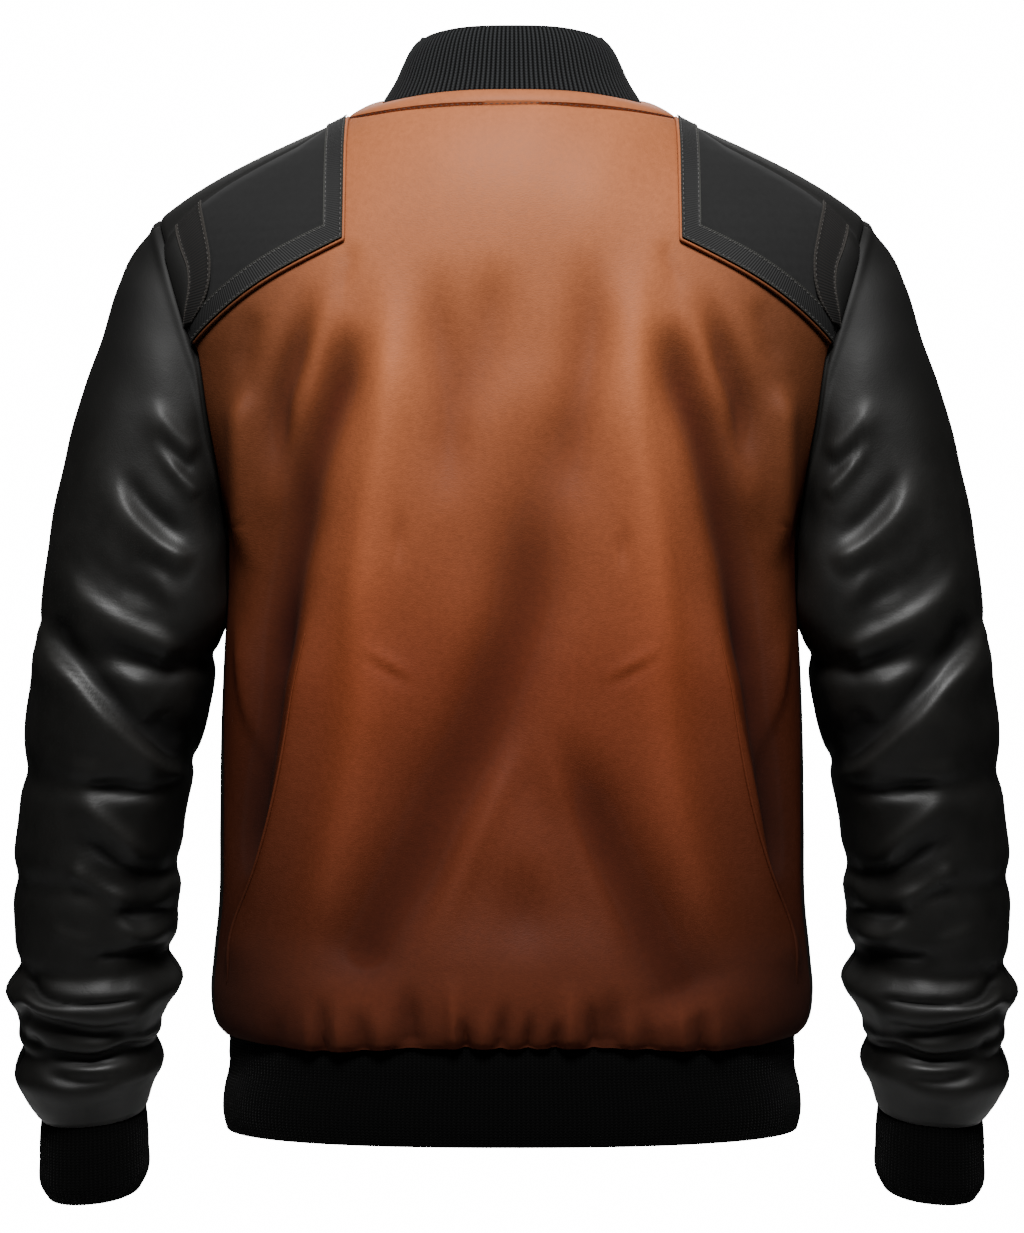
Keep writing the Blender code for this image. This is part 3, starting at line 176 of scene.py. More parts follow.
BACK_CREASES = table(
    Crease,
    # the pulls from the armholes: two troughs on each side, a narrow ridge between, and short ones beside them
    ((101, -136, 112, -186, 124, -214, 133, -241, 138, -268, 145, -296, 149, -323, 152, -372),
     -15.0, 12, 15, 0.2, 0.3),
    ((124, -112, 131, -140, 137, -160, 147, -188, 150, -220, 151, -256), -12.0, 8, 9, 0.4, 0.4),
    ((110, -116, 117, -150, 130, -210, 138, -258), 2.4, 6, 6),
    ((160, -130, 166, -150, 172, -176), -2.6, 8, 8),
    ((98, -90, 103, -110, 112, -132), -1.8, 5, 6, 0.3, 0.5),
    ((-97, -134, -111, -186, -123, -214, -131, -241, -138, -268, -146, -296, -150, -325, -152, -372),
     -15.0, 15, 12, 0.2, 0.3),
    ((-117, -114, -127, -140, -136, -166, -146, -190, -149, -220, -150, -250), -12.0, 9, 8, 0.4, 0.4),
    ((-103, -118, -114, -152, -128, -202, -141, -256), 2.4, 6, 6),
    ((-151, -122, -160, -146, -168, -172), -2.4, 8, 8),
    ((-94, -88, -99, -106, -109, -126), -1.8, 6, 5, 0.3, 0.5),
    ((168, -176, 169, -230, 168, -300), 8.0, 10, 7, 0.2, 0.3),
    ((-168, -174, -169, -228, -168, -298), 8.0, 7, 10, 0.2, 0.3),
    # the two broad lit ridges beside the spine, and the soft hollows between them
    ((82, -90, 76, -140, 78, -200, 88, -266, 95, -330, 98, -380), 7.4, 13, 17, 0.3, 0.25),
    ((-82, -84, -77, -140, -76, -200, -86, -266, -94, -330, -98, -380), 7.4, 17, 13, 0.3, 0.25),
    ((48, -96, 46, -140, 38, -200, 43, -268), -6.0, 12, 14),
    ((8, -96, 16, -150, 32, -212), -4.6, 14, 14),
    ((-42, -90, -50, -146, -42, -196, -38, -226, -40, -268), -6.6, 17, 12),
    ((71, -254, 70, -276, 71, -298), -2.0, 3.5, 4.5, 0.5, 0.5),
    ((-71, -262, -69, -280, -70, -300), -2.0, 4.5, 3.5, 0.5, 0.5),
    # the long drape folds: from the middle of the back down to the left, and a shorter one to the right
    ((-22, -176, -18, -232, -10, -290, -5, -328, 8, -366, 26, -408, 45, -442, 60, -473,
      79, -506, 95, -535, 108, -566), -11.0, 25, 25, 0.30, 0.1),
    ((-34, -386, -49, -448, -69, -484, -88, -517, -104, -548, -112, -572), -10.4, 24, 22, 0.34, 0.1),
    ((-9, -388, 12, -436, 36, -492, 58, -548), 3.8, 9, 10, 0.3, 0.4),
    ((-15, -388, -30, -436, -52, -492, -76, -548), 3.8, 10, 9, 0.3, 0.4),
    ((-4, -470, -8, -510, -6, -548), -3.0, 17, 17, 0.5, 0.5),
    ((90, -312, 92, -366, 100, -430, 112, -490, 122, -556), 6.2, 17, 17, 0.3, 0.25),
    ((-86, -312, -92, -376, -100, -440, -112, -492, -122, -556), 6.2, 17, 17, 0.3, 0.25),
    # two faint slanting creases below the shoulder blades
    ((96, -340, 78, -352, 56, -365), 1.0, 2.6, 4, 0.5, 0.5),
    ((96, -346, 78, -358, 56, -370), -0.9, 4, 3, 0.5, 0.5),
    ((-95, -340, -76, -353, -52, -365), 1.0, 4, 2.6, 0.5, 0.5),
    ((-95, -346, -76, -359, -52, -370), -0.9, 3, 4, 0.5, 0.5),
    # the sharp edge where each side of the back laps over a deep hollow, and a second edge beyond it
    ((124, -300, 135, -371, 146, -433, 160, -484, 172, -517, 181, -560), 5.0, 4, 15, 0.3, 0.12),
    ((146, -300, 155, -371, 164, -430, 173, -482, 181, -524), -14.0, 11, 10, 0.25, 0.3),
    ((176, -318, 169, -385, 158, -438), 3.0, 4, 7, 0.3, 0.5),
    ((-124, -300, -136, -371, -151, -435, -164, -495, -178, -533, -184, -562), 5.0, 15, 4, 0.3, 0.12),
    ((-146, -300, -157, -371, -168, -436, -177, -492, -184, -528), -14.0, 10, 11, 0.25, 0.3),
    ((-177, -320, -170, -380, -159, -438), 3.0, 7, 4, 0.3, 0.5),
) + gathers(
    # above the hem, sharper and deeper where the rib draws them in
    0.22,
    (120, -556, 118, -596, -3.8, 3.4, 3.4), (66, -546, 62, -596, -5.1, 8, 7),
    (31, -568, 28, -596, -4.6, 3.4, 3.4), (4, -558, 8, -596, -4.6, 3.4, 3.4),
    (-12, -566, -9, -596, -4.3, 3.4, 3.4), (-29, -570, -26, -596, -3.8, 3.4, 3.4),
    (-49, -558, -51, -596, -5.1, 3.4, 4), (-64, -550, -60, -596, -4.1, 8, 8),
    (-118, -560, -120, -596, -3.8, 3.4, 3.4), (95, -564, 92, -596, -2.7, 5, 5),
    (-84, -566, -86, -596, -2.7, 5, 5), (147, -566, 148, -596, -2.2, 6, 6),
    (-146, -566, -147, -596, -2.2, 6, 6), (38, -544, 35, -594, 4.1, 4.5, 4.5),
    (-36, -548, -36, -594, 4.1, 6, 6), (17, -560, 18, -594, 2.4, 4.5, 4.5), (128, -558, 126, -594, 3.2, 5, 5),
    (109, -558, 107, -594, 3.0, 5, 5), (82, -562, 80, -594, 2.7, 6, 6), (-104, -558, -107, -594, 3.0, 5, 5),
    (-127, -560, -128, -594, 3.2, 5, 5), (-72, -562, -73, -594, 2.2, 5, 5),
)
FRONT_CREASES = table(
    Crease,
    ((100, -120, 118, -190, 134, -250, 158, -306), -5.5, 12, 20),
    ((84, -124, 98, -200, 116, -270, 142, -330), 2.8, 10, 16),
    ((128, -118, 142, -178, 160, -244), -3.0, 8, 14),
    ((50, -320, 74, -400, 98, -480, 120, -560), -5.0, 12, 22),
    ((34, -330, 54, -410, 72, -490, 92, -566), 2.8, 14, 14),
    ((70, -300, 98, -380, 124, -460, 142, -540), 2.6, 13, 13),
    ((30, -150, 38, -230, 34, -300), -1.8, 12, 14),
    ((176, -322, 166, -384, 152, -434), 2.2, 4, 9),
    ((146, -430, 160, -480, 172, -530, 180, -574), 2.4, 9, 4),
    ((22, -440, 26, -500, 40, -560), -1.6, 8, 12),
) + gathers(
    0.02,
    (122, -556, 120, -596, -2.2, 6, 5), (88, -560, 86, -596, -2.0, 5, 6), (60, -558, 58, -596, -2.4, 6, 5),
    (34, -562, 33, -596, -1.8, 5, 5),
)
SLEEVE_BACK_CREASES = table(
    Crease,
    # the upper arm: long pulls that slant in and down to the armpit, each lit along its upper flank
    ((230, -184, 223, -198, 212, -212, 198, -222), 3.6, 10, 6, 0.45, 0.15),
    ((226, -206, 214, -220, 198, -234), -2.0, 5, 5),
    ((223, -220, 212, -234, 199, -249), 2.8, 5, 4.4, 0.3, 0.15),
    ((244, -228, 236, -250, 222, -264, 203, -277), -2.8, 7, 7),
    ((256, -224, 249, -247, 239, -264, 225, -278, 200, -291), 4.2, 13, 6, 0.5, 0.15),
    ((236, -284, 220, -294, 200, -304), -1.6, 7, 7, 0.4, 0.4),
    ((231, -290, 221, -305, 212, -322), 2.0, 6, 5, 0.4, 0.4),
    ((272, -270, 258, -296, 238, -310, 214, -324), -1.6, 8, 8),
    ((290, -282, 280, -301, 261, -320, 245, -329, 227, -338, 207, -349), 4.6, 13, 6, 0.4, 0.15),
    ((246, -306, 238, -318, 230, -330), 1.8, 6, 6, 0.5, 0.5),
    ((270, -332, 252, -344, 230, -354, 204, -364), -2.6, 9, 7, 0.4, 0.2),
    ((262, -350, 244, -364, 224, -376), 2.2, 9, 9),
    # the elbow: the forearm's leather laps up over the upper arm's along one long edge
    ((294, -322, 284, -343, 266, -364, 246, -386, 230, -401, 215, -414, 200, -424), -3.6, 5, 10,
     0.1, 0.1),
    ((304, -326, 292, -350, 274, -371, 254, -393, 238, -409, 222, -422, 206, -430), 5.2, 17, 4.2,
     0.06, 0.12),
    ((232, -384, 216, -398, 200, -406), -3.2, 9, 9),
    ((213, -414, 206, -428), 2.2, 4, 4),
    # the forearm: short folds that pinch in from the inner side
    ((292, -418, 270, -423, 246, -424), 2.2, 7, 6),
    ((280, -430, 252, -436, 214, -437), -4.0, 5, 6),
    ((282, -438, 260, -456, 240, -475, 228, -486), 4.4, 8, 5.5, 0.35, 0.4),
    ((288, -462, 268, -474, 246, -488, 216, -494), -4.4, 6, 6),
    ((286, -484, 268, -496, 250, -507, 238, -512), 4.6, 6, 5, 0.2, 0.4),
    ((228, -496, 212, -502), 2.4, 6, 6),
    ((260, -512, 240, -518, 212, -514), -4.6, 5, 6),
    ((258, -520, 242, -531, 218, -526), 3.0, 6, 5),
    ((302, -522, 284, -532, 266, -536), 1.8, 7, 5),
    ((284, -545, 256, -546, 228, -542, 212, -534), -5.0, 5, 6),
    ((284, -554, 268, -562, 250, -560), 1.2, 7, 7),
    # the rolls above the cuff, deep lines between soft swellings
    ((318, -556, 304, -571, 286, -575, 262, -576, 230, -571), -4.4, 4.4, 4.4, 0.1, 0.2),
    ((322, -566, 304, -580, 282, -584, 256, -584, 232, -579), 2.4, 7, 7, 0.1, 0.2),
    ((324, -576, 300, -588, 268, -594, 238, -587), -3.8, 4.4, 4.4, 0.1, 0.3),
    ((322, -586, 298, -598, 268, -603, 238, -597), 2.2, 7, 6, 0.1, 0.3),
    ((318, -598, 304, -608, 276, -613, 246, -606, 230, -608), -3.8, 4.4, 4.4, 0.1, 0.2),
    ((300, -616, 270, -621, 240, -615), 2.0, 6, 6),
    ((312, -620, 282, -627, 250, -623), -2.6, 5, 5),
    ((312, -634, 280, -640, 244, -632), 1.6, 7, 7),
)
SLEEVE_FRONT_CREASES = table(
    Crease,
    ((238, -140, 222, -172, 200, -206), 4.0, 9, 13),
    ((230, -128, 212, -160, 198, -186), -2.4, 9, 8),
    ((262, -206, 250, -240, 228, -270, 198, -294), 4.6, 8, 12),
    ((270, -232, 252, -268, 222, -298), -3.2, 9, 8),
    ((290, -270, 272, -304, 244, -328, 208, -348), 4.6, 8, 12),
    ((300, -300, 280, -330, 250, -352, 212, -372), -3.8, 9, 9),
    ((300, -336, 282, -362, 258, -386, 218, -412), 4.4, 7, 12),
    ((296, -410, 262, -424, 214, -434), -3.6, 8, 8),
    ((296, -436, 268, -456, 232, -474), 3.2, 8, 9),
    ((300, -482, 262, -492, 222, -490), -3.2, 7, 6),
    ((302, -498, 270, -512, 236, -510), 2.6, 7, 9),
    ((290, -546, 256, -544, 224, -536), -3.0, 7, 7),
    ((326, -560, 292, -572, 260, -570, 232, -562), 3.6, 8, 6, 0.1, 0.2),
    ((326, -578, 292, -584, 258, -580, 232, -572), -3.0, 5, 5, 0.1, 0.3),
    ((326, -588, 290, -598, 258, -600, 236, -594), 2.8, 5, 5, 0.1, 0.3),
    ((310, -612, 272, -616, 240, -608), -2.8, 6, 6),
    ((308, -626, 276, -632, 246, -626), 2.2, 6, 6),
)


# ---- curves
def column(table, name):
    """One named column of a table, as an array."""
    return np.array([getattr(row, name) for row in table])


def cubic(places, values, at):
    """A cubic through each place's value, its slope there that between its neighbours."""
    slopes = np.gradient(values, places)
    at = np.clip(at, places[0], places[-1])
    low = np.clip(np.searchsorted(places, at, side="right") - 1, 0, len(places) - 2)
    span = places[low + 1] - places[low]
    t = (at - places[low]) / span
    return (
        values[low] * (1 + 2 * t) * (1 - t) ** 2
        + slopes[low] * span * t * (1 - t) ** 2
        + values[low + 1] * t**2 * (3 - 2 * t)
        - slopes[low + 1] * span * t**2 * (1 - t)
    )


def through(table, key, name, at):
    """A table's column as a smooth function of another."""
    return cubic(column(table, key), column(table, name), at)


def ease(value):
    """0 below 0, 1 above 1, and 3 t^2 - 2 t^3 between."""
    t = np.clip(value, 0.0, 1.0)
    return t * t * (3 - 2 * t)


def spread(count, crowd):
    """count + 1 shares from 0 to 1, closer together at both ends: t - crowd sin(2 pi t) / 2 pi."""
    t = np.linspace(0, 1, count + 1)
    return t - crowd * np.sin(2 * np.pi * t) / (2 * np.pi)


def signed_power(value, power):
    """|value|^power, with the value's sign."""
    return np.sign(value) * np.abs(value) ** power


def run_along(line):
    """The distance run along a line of places (n, k)."""
    return np.concatenate([[0.0], np.cumsum(np.linalg.norm(np.diff(line, axis=0), axis=1))])


def places_at(at, run, line):
    """The places on a line at distances `at`, where `run` is the distance of each of its own places."""
    return np.stack([np.interp(at, run, values) for values in np.transpose(line)], axis=1)


def unit(vectors, axis=-1):
    """The same directions, one long."""
    return vectors / np.maximum(np.linalg.norm(vectors, axis=axis, keepdims=True), 1e-12)


def line_through(path, count):
    """A smooth line through a few places (n, k), as count + 1 places evenly spaced along it."""
    path = np.asarray(path, float)
    chord = run_along(path)
    if len(path) == 2:
        return path[0] + np.linspace(0, 1, count + 1)[:, None] * (path[1] - path[0])
    at = np.linspace(0, chord[-1], count + 1)
    return np.stack([cubic(chord, path[:, axis], at) for axis in range(path.shape[1])], axis=1)


CREASE_STEPS = 24  # straight pieces that a crease's line is taken as
CREASE_REACH = 2.6  # widths from its line within which a crease counts


def crease_relief(rows, x, z):
    """How far the leather stands proud at each place (x, z): for each crease, its height times a bell of the
    distance from its line, exp(-(d / width)^2), eased in and out along its length."""
    total = np.zeros(np.shape(x))
    for crease in rows:
        line = line_through(np.reshape(crease.path, (-1, 2)) * MM, CREASE_STEPS)
        reach = CREASE_REACH * max(crease.left, crease.right) * MM
        low, high = line.min(axis=0) - reach, line.max(axis=0) + reach
        near = (x > low[0]) & (x < high[0]) & (z > low[1]) & (z < high[1])
        place = np.stack([x[near], z[near]], axis=-1)[:, None]
        start, step = line[:-1], np.diff(line, axis=0)
        t = np.clip(((place - start) * step).sum(-1) / (step**2).sum(-1), 0, 1)
        gap = place - start - step * t[..., None]
        distance = np.hypot(gap[..., 0], gap[..., 1])
        turn = step[:, 0] * gap[..., 1] - step[:, 1] * gap[..., 0]
        best = distance.argmin(axis=1)[:, None]
        t, distance, turn = (np.take_along_axis(value, best, axis=1)[:, 0] for value in (t, distance, turn))
        share = (best[:, 0] + t) / len(step)
        width = np.where(turn > 0, crease.left, crease.right) * MM
        fade = ease(share / crease.start) * ease((1 - share) / crease.end)
        total[near] += crease.height * MM * fade * np.exp(-((distance / width) ** 2))
    return total


def unevenness(x, z, size, seed):
    """Soft unevenness between -1 and 1: a sum of nine waves, about `size` long, in scattered directions."""
    scatter = np.random.default_rng(seed)
    total = np.zeros(np.shape(x))
    limits = ((0, np.pi, 1), (0.7, 1.9, size), (0, 2 * np.pi, 1))
    for direction, length, phase in zip(*(scatter.uniform(low, high, 9) * scale for low, high, scale in limits)):
        total += np.sin((x * np.cos(direction) + z * np.sin(direction)) * 2 * np.pi / length + phase)
    return total / 5.0


# ---- the body's form
def level(name, depth):
    """A named size of the body's level section at a depth."""
    return through(BODY_LEVELS, "depth", name, depth)


def section_point(depth, angle, side):
    """A point of a level section: a superellipse, angle 0 at the side and a quarter turn at the centre."""
    half_width = level("half_width", depth)
    reach = level("back" if side == BACK else "front", depth)
    x = half_width * np.abs(np.cos(angle)) ** (2 / SQUARENESS)
    y = reach * signed_power(np.sin(angle), 2 / SQUARENESS)
    return x, side * y


def side_angle(depth, side):
    """The angle of the armhole's edge, part of an ellipse, or of the side seam on each level section."""
    mid = ARMHOLE_BACK if side == BACK else ARMHOLE_FRONT
    fall = np.clip((-ARMHOLE_MID - depth) / (UNDERARM - ARMHOLE_MID), 0.0, 1.0)
    hole_y = side * UNDERARM_Y + (mid - side * UNDERARM_Y) * np.sqrt(1 - fall**2)
    seam_y = side * level("seam_y", depth)
    y = np.where(depth < -UNDERARM, hole_y, seam_y)
    reach = np.where(y * side > 0, level("back", depth), level("front", depth))
    return np.arcsin(signed_power(y / reach, SQUARENESS / 2))


def crest_height(crest_x):
    """The height of the shoulder's crest: a flat fourth-power arch over the neck, then a straight slope that
    falls away with the fourth power towards the tip."""
    inner = NECK_CREST + NECK_CREST_RISE * (1 - (crest_x / NECK_HALF_WIDTH) ** 4)
    run = np.maximum(crest_x - NECK_HALF_WIDTH, 0.0)
    outer = NECK_CREST - SHOULDER_SLOPE * run - SHOULDER_TURN * run**4
    return np.where(crest_x < NECK_HALF_WIDTH, inner, outer)


def mid_armhole(across, side):
    """The level section at mid-armhole, and its end at the armhole."""
    depth = np.full_like(across, -ARMHOLE_MID)
    edge = side_angle(depth, side)
    x, y = section_point(depth, np.pi / 2 - across * (np.pi / 2 - edge), side)
    return x, y, section_point(depth, edge, side)[0]


def upper_shape(across, side):
    """What the form above mid-armhole hangs between: the crest, the mid-armhole section, and the exponent
    of the arc from one to the other."""
    low_x, low_y, _ = mid_armhole(across, side)
    back_x, _, end_x = mid_armhole(across, BACK)
    lean = np.clip((back_x - NECK_HALF_WIDTH) / (end_x - NECK_HALF_WIDTH), 0.0, 1.0) ** 1.5
    crest_x = back_x + (SHOULDER_HALF_WIDTH - end_x) * lean
    if side == BACK:
        exponent = 2.2 + 0.8 * np.clip(1 - (low_x / NECK_HALF_WIDTH) ** 2, 0.0, 1.0) ** 2
    else:
        exponent = 1.4 + 0.8 * ease((low_x - 0.04) / 0.15)
    return low_x, low_y, crest_x, crest_height(crest_x), exponent


def half_form(across, down, side):
    """The smooth form on one side of the crest, left half: a superelliptic arc from crest to mid-armhole,
    and level superellipses below it."""
    low_x, low_y, crest_x, crest_z, exponent = upper_shape(across, side)
    turn = np.clip(down + 1, 0.0, 1.0) * np.pi / 2
    rise = np.abs(np.cos(turn)) ** (2 / exponent)
    reach = np.abs(np.sin(turn)) ** (2 / exponent)
    upper = np.stack([
        low_x + (crest_x - low_x) * rise,
        low_y * reach,
        ARMHOLE_MID + (crest_z - ARMHOLE_MID) * rise,
    ])
    depth = -ARMHOLE_MID + np.maximum(down, 0.0) * (ARMHOLE_MID - HEM_SEAM)
    angle = np.pi / 2 - across * (np.pi / 2 - side_angle(depth, side))
    x, y = section_point(depth, angle, side)
    lower = np.stack([x, y, -depth])
    return np.where(down < 0, upper, lower)


def form_point(across, down, side):
    """The smooth form, left half. A place past the crest, where `down` is below -1, is on the other side."""
    across, down = np.broadcast_arrays(np.asarray(across, float), np.asarray(down, float))
    return np.where(down < -1, half_form(across, -2 - down, -side), half_form(across, down, side))


def both_halves(across, down, side):
    """The smooth form, where negative `across` is the right half."""
    point = form_point(np.abs(across), down, side)
    point[0] = np.where(across < 0, -point[0], point[0])
    return point


def body_point(across, down, side, lift=0.0, rows=()):
    """The form with a table of creases, `lift` out from it, the direction out, and the creases' height there.
    The creases die away at the armholes and side seams, so that the panels meet."""
    across, down = np.broadcast_arrays(np.asarray(across, float), np.asarray(down, float))
    half = np.where(across < 0, RIGHT, LEFT)
    step = 1e-3  # between the places whose difference gives a slope
    inner = np.clip(np.abs(across), step, 1.0 - step) * half
    along_a = both_halves(inner + step * half, down, side) - both_halves(inner - step * half, down, side)
    below = np.minimum(down + step, 1.0)
    along_d = both_halves(across, below, side) - both_halves(across, down - step, side)
    normal = unit(np.cross(along_a * half, along_d, axis=0) * side, 0)
    point = both_halves(across, down, side)
    relief = np.zeros(across.shape)
    if rows:
        relief = crease_relief(rows, point[0], point[2]) + 0.0007 * unevenness(point[0], point[2], 0.055, 3)
    relief = relief * ease((1 - np.abs(across)) / 0.09)
    relief = relief * ease((point[1] * side - 0.030) / 0.03)
    return point + normal * (relief + lift), normal, relief


def down_at_height(across, height, side):
    """The `down` parameter where the form passes a height, behind the crest."""
    across, height = np.broadcast_arrays(np.asarray(across, float), np.asarray(height, float))
    _, _, _, crest_z, exponent = upper_shape(np.abs(across), side)
    rise = np.clip((height - ARMHOLE_MID) / (crest_z - ARMHOLE_MID), 0.0, 1.0)
    upper = np.arccos(rise ** (exponent / 2)) / (np.pi / 2) - 1
    lower = (ARMHOLE_MID - height) / (ARMHOLE_MID - HEM_SEAM)
    return np.where(height > ARMHOLE_MID, upper, lower)


def down_at_y(across, y, side):
    """The `down` parameter where the form above mid-armhole passes a place `y`, either side of the crest."""
    found = []
    for face in (side, -side):
        _, low_y, _, _, exponent = upper_shape(np.abs(across), face)
        share = np.clip(y / low_y, 0.0, 1.0)
        found.append(np.arcsin(share ** (exponent / 2)) / (np.pi / 2) - 1)
    return np.where(y * side >= 0, found[0], -2 - found[1])


def neck_y(x, side):
    """The plan of the neckline: half an ellipse behind the sides of the neck and a longer half in front."""
    reach = NECK_BACK if side == BACK else NECK_FRONT
    return SEAM_BEHIND_CREST + side * reach * np.sqrt(np.clip(1 - (x / NECK_HALF_WIDTH) ** 2, 0, 1))


def across_at_x(x):
    """The `across` parameter of a place x on the mid-armhole section."""
    x = np.asarray(x, float)
    depth = np.full_like(x, -ARMHOLE_MID)
    half_width = level("half_width", depth)
    angle = np.arccos(np.clip(x / half_width, 0, 1) ** (SQUARENESS / 2))
    return (np.pi / 2 - angle) / (np.pi / 2 - side_angle(depth, BACK))


HALF_SPAN = 0.26  # about how far x runs while `across` goes from 0 to 1
SEWN_IN = 0.09  # how far down from the shoulder seam a sewn-on piece takes to reach its lift
SEAM_LOSS = 0.9  # the share of its lift that it loses in the seam
NECK_ACROSS = float(across_at_x(NECK_HALF_WIDTH))
SEAM_ANGLE = (float(down_at_y(np.array(1.0), np.array(SEAM_BEHIND_CREST + SEAM_FALL), BACK)) + 1) * 90
SLEEVE_SEAM_ANGLE = (float(down_at_y(np.array(1.0), np.array(SEAM_BEHIND_CREST), BACK)) + 1) * 90


def down_at_top(across, side):
    """The `down` parameter of a panel's top edge: the neckline, and outside it the shoulder seam."""
    size = np.abs(across)
    crest_x = upper_shape(size, side)[2]
    shoulder_y = SEAM_BEHIND_CREST + SEAM_FALL * ease((crest_x - NECK_HALF_WIDTH) / 0.035)
    y = np.where(size < NECK_ACROSS - 1e-6, neck_y(crest_x, side), shoulder_y)
    return down_at_y(size, y, side)


def armhole_down(angle):
    """The `down` parameter on the armhole at an angle from the crest: 90 at mid-armhole, 180 at the underarm,
    and the same again on the way back up."""
    angle = np.minimum(angle, 360 - angle)
    below = np.sin(np.radians(np.clip(angle - 90, 0, 90)))
    return np.where(angle < 90, angle / 90 - 1, below * (ARMHOLE_MID - UNDERARM) / (ARMHOLE_MID - HEM_SEAM))


def sewn_lift(lift, across, down):
    """How far a sewn-on piece stands from the back: a tenth of its lift in the shoulder seam, and all of it
    from SEWN_IN below the seam."""
    return lift * (1 - SEAM_LOSS * (1 - ease((down - down_at_top(across, BACK)) / SEWN_IN)))


def on_back(x, z):
    """The parameters (across, down) of a place (x, z) seen from behind, found in ten steps."""
    x, z = np.broadcast_arrays(np.asarray(x, float), np.asarray(z, float))
    across = across_at_x(x)
    for _ in range(10):
        down = down_at_height(across, z, BACK)
        across = np.clip(across + (x - form_point(across, down, BACK)[0]) / HALF_SPAN, 0.0, 1.0)
    return across, down


def patch_lower_edge(x):
    """The height of the patch's lower edge: a straight slant that steepens towards the armhole."""
    run = np.maximum(x - NECK_HALF_WIDTH, 0.0)
    return -0.089 - 0.45 * run - 20 * run**3


# ---- the sleeve's form
def armhole_ring(angle):
    """The armhole as the sleeve sees it, for angles from the crest, over the back, under and up the front:
    its points, the body's outward direction there, and how near the seam is to the underarm."""
    back, front = (body_point(1.0, armhole_down(angle), side) for side in (BACK, FRONT))
    ring, outward = (np.where(angle > 180, ahead, behind) for behind, ahead in zip(back[:2], front[:2]))
    return ring, outward, ease((np.minimum(angle, 360 - angle) - 70) / 50)


def body_side_x(y, z):
    """How far the body reaches sideways at a place beside it."""
    depth = np.clip(-z, -ARMHOLE_MID, -HEM_SEAM)
    half_width = level("half_width", depth)
    share = np.abs(y) / np.where(y > 0, level("back", depth), level("front", depth))
    return half_width * np.clip(1 - share**SQUARENESS, 0, 1) ** (1 / SQUARENESS)


def sleeve_point(angle, along):
    """The left sleeve's smooth tube: each section is a superellipse between its outermost and innermost
    points, swelled by the rolls that run right round it."""
    outer_x, outer_z, inner_x, inner_z, half_depth, forward, inner_square = (
        through(SLEEVE_RINGS, "along", name, along) for name in Ring._fields[1:]
    )
    turn = np.radians(angle)
    square = np.where(np.cos(turn) < 0, inner_square, SLEEVE_SQUARENESS)
    side, near = signed_power(np.cos(turn), 2 / square), signed_power(np.sin(turn), 2 / square)
    lean = FOREARM_LEAN * ease(along / 0.25)
    rolled = np.zeros_like(along)
    for roll in SLEEVE_ROLLS:
        rolled = rolled + roll.height * np.exp(-(((along - roll.along) / roll.width) ** 2))
    width_x, width_z = (outer_x - inner_x) / 2, (outer_z - inner_z) / 2
    x = (outer_x + inner_x) / 2 + side * width_x * (1 + rolled / np.hypot(width_x, width_z))
    y = -forward + near * (half_depth + rolled)
    z = (outer_z + inner_z) / 2 + side * width_z - lean * near * half_depth
    return np.stack([x, y, z])


def clear_of_body(point, along, gap):
    """Moves the sleeve's places (3, ...) outwards until they are `gap` clear of the body beside them."""
    beside = (point[2] < ARMHOLE_MID) & (along > 0.001)
    point[0] = np.where(beside, np.maximum(point[0], body_side_x(point[1], point[2]) + gap), point[0])
    return point


def sleeve_form(angle, along):
    """sleeve_point, fitted to the armhole at its top and kept clear of the body beside it."""
    angle, along = np.broadcast_arrays(np.asarray(angle, float), np.asarray(along, float))
    point = sleeve_point(angle, along)
    ring, outward, valley = armhole_ring(angle)
    start = ring - sleeve_point(angle, np.zeros_like(along))
    point = point + start * np.clip(1 - along / 0.10, 0, 1) ** 2
    point = point + outward * VALLEY_GAP * valley * np.clip(1 - along / 0.03, 0, 1)
    return last_axis(clear_of_body(point, along, SLEEVE_CLEARANCE))


# ---- grids into meshes
def out_of(points):
    """The direction out of a grid of points (rows, columns, 3): across its rows and columns."""
    return unit(np.cross(np.gradient(points, axis=1), np.gradient(points, axis=0)))


def lengths(points, axis):
    """The distance run along each row or column of a grid."""
    steps = np.linalg.norm(np.diff(points, axis=axis), axis=-1)
    zero = np.zeros_like(np.take(steps, [0], axis=axis))
    return np.cumsum(np.concatenate([zero, steps], axis=axis), axis=axis)


def draw_in(points, gaps):
    """Moves the border of a grid in by the gaps (first row, last row, first column, last column)."""
    points = points.copy()
    for (axis, edge, inside), gap in zip(((0, 0, 1), (0, -1, -2), (1, 0, 1), (1, -1, -2)), gaps):
        border = np.take(points, edge, axis=axis)
        away = np.take(points, inside, axis=axis) - border
        length = np.linalg.norm(away, axis=-1, keepdims=True)
        border = border + away / np.maximum(length, 1e-9) * np.minimum(gap, 0.6 * length)
        points[(slice(None),) * axis + (edge,)] = border
    return points


def quads_of(index):
    """The faces between neighbours of a grid of vertex numbers."""
    return np.stack([index[:-1, :-1], index[:-1, 1:], index[1:, 1:], index[1:, :-1]], axis=-1).reshape(-1, 4)


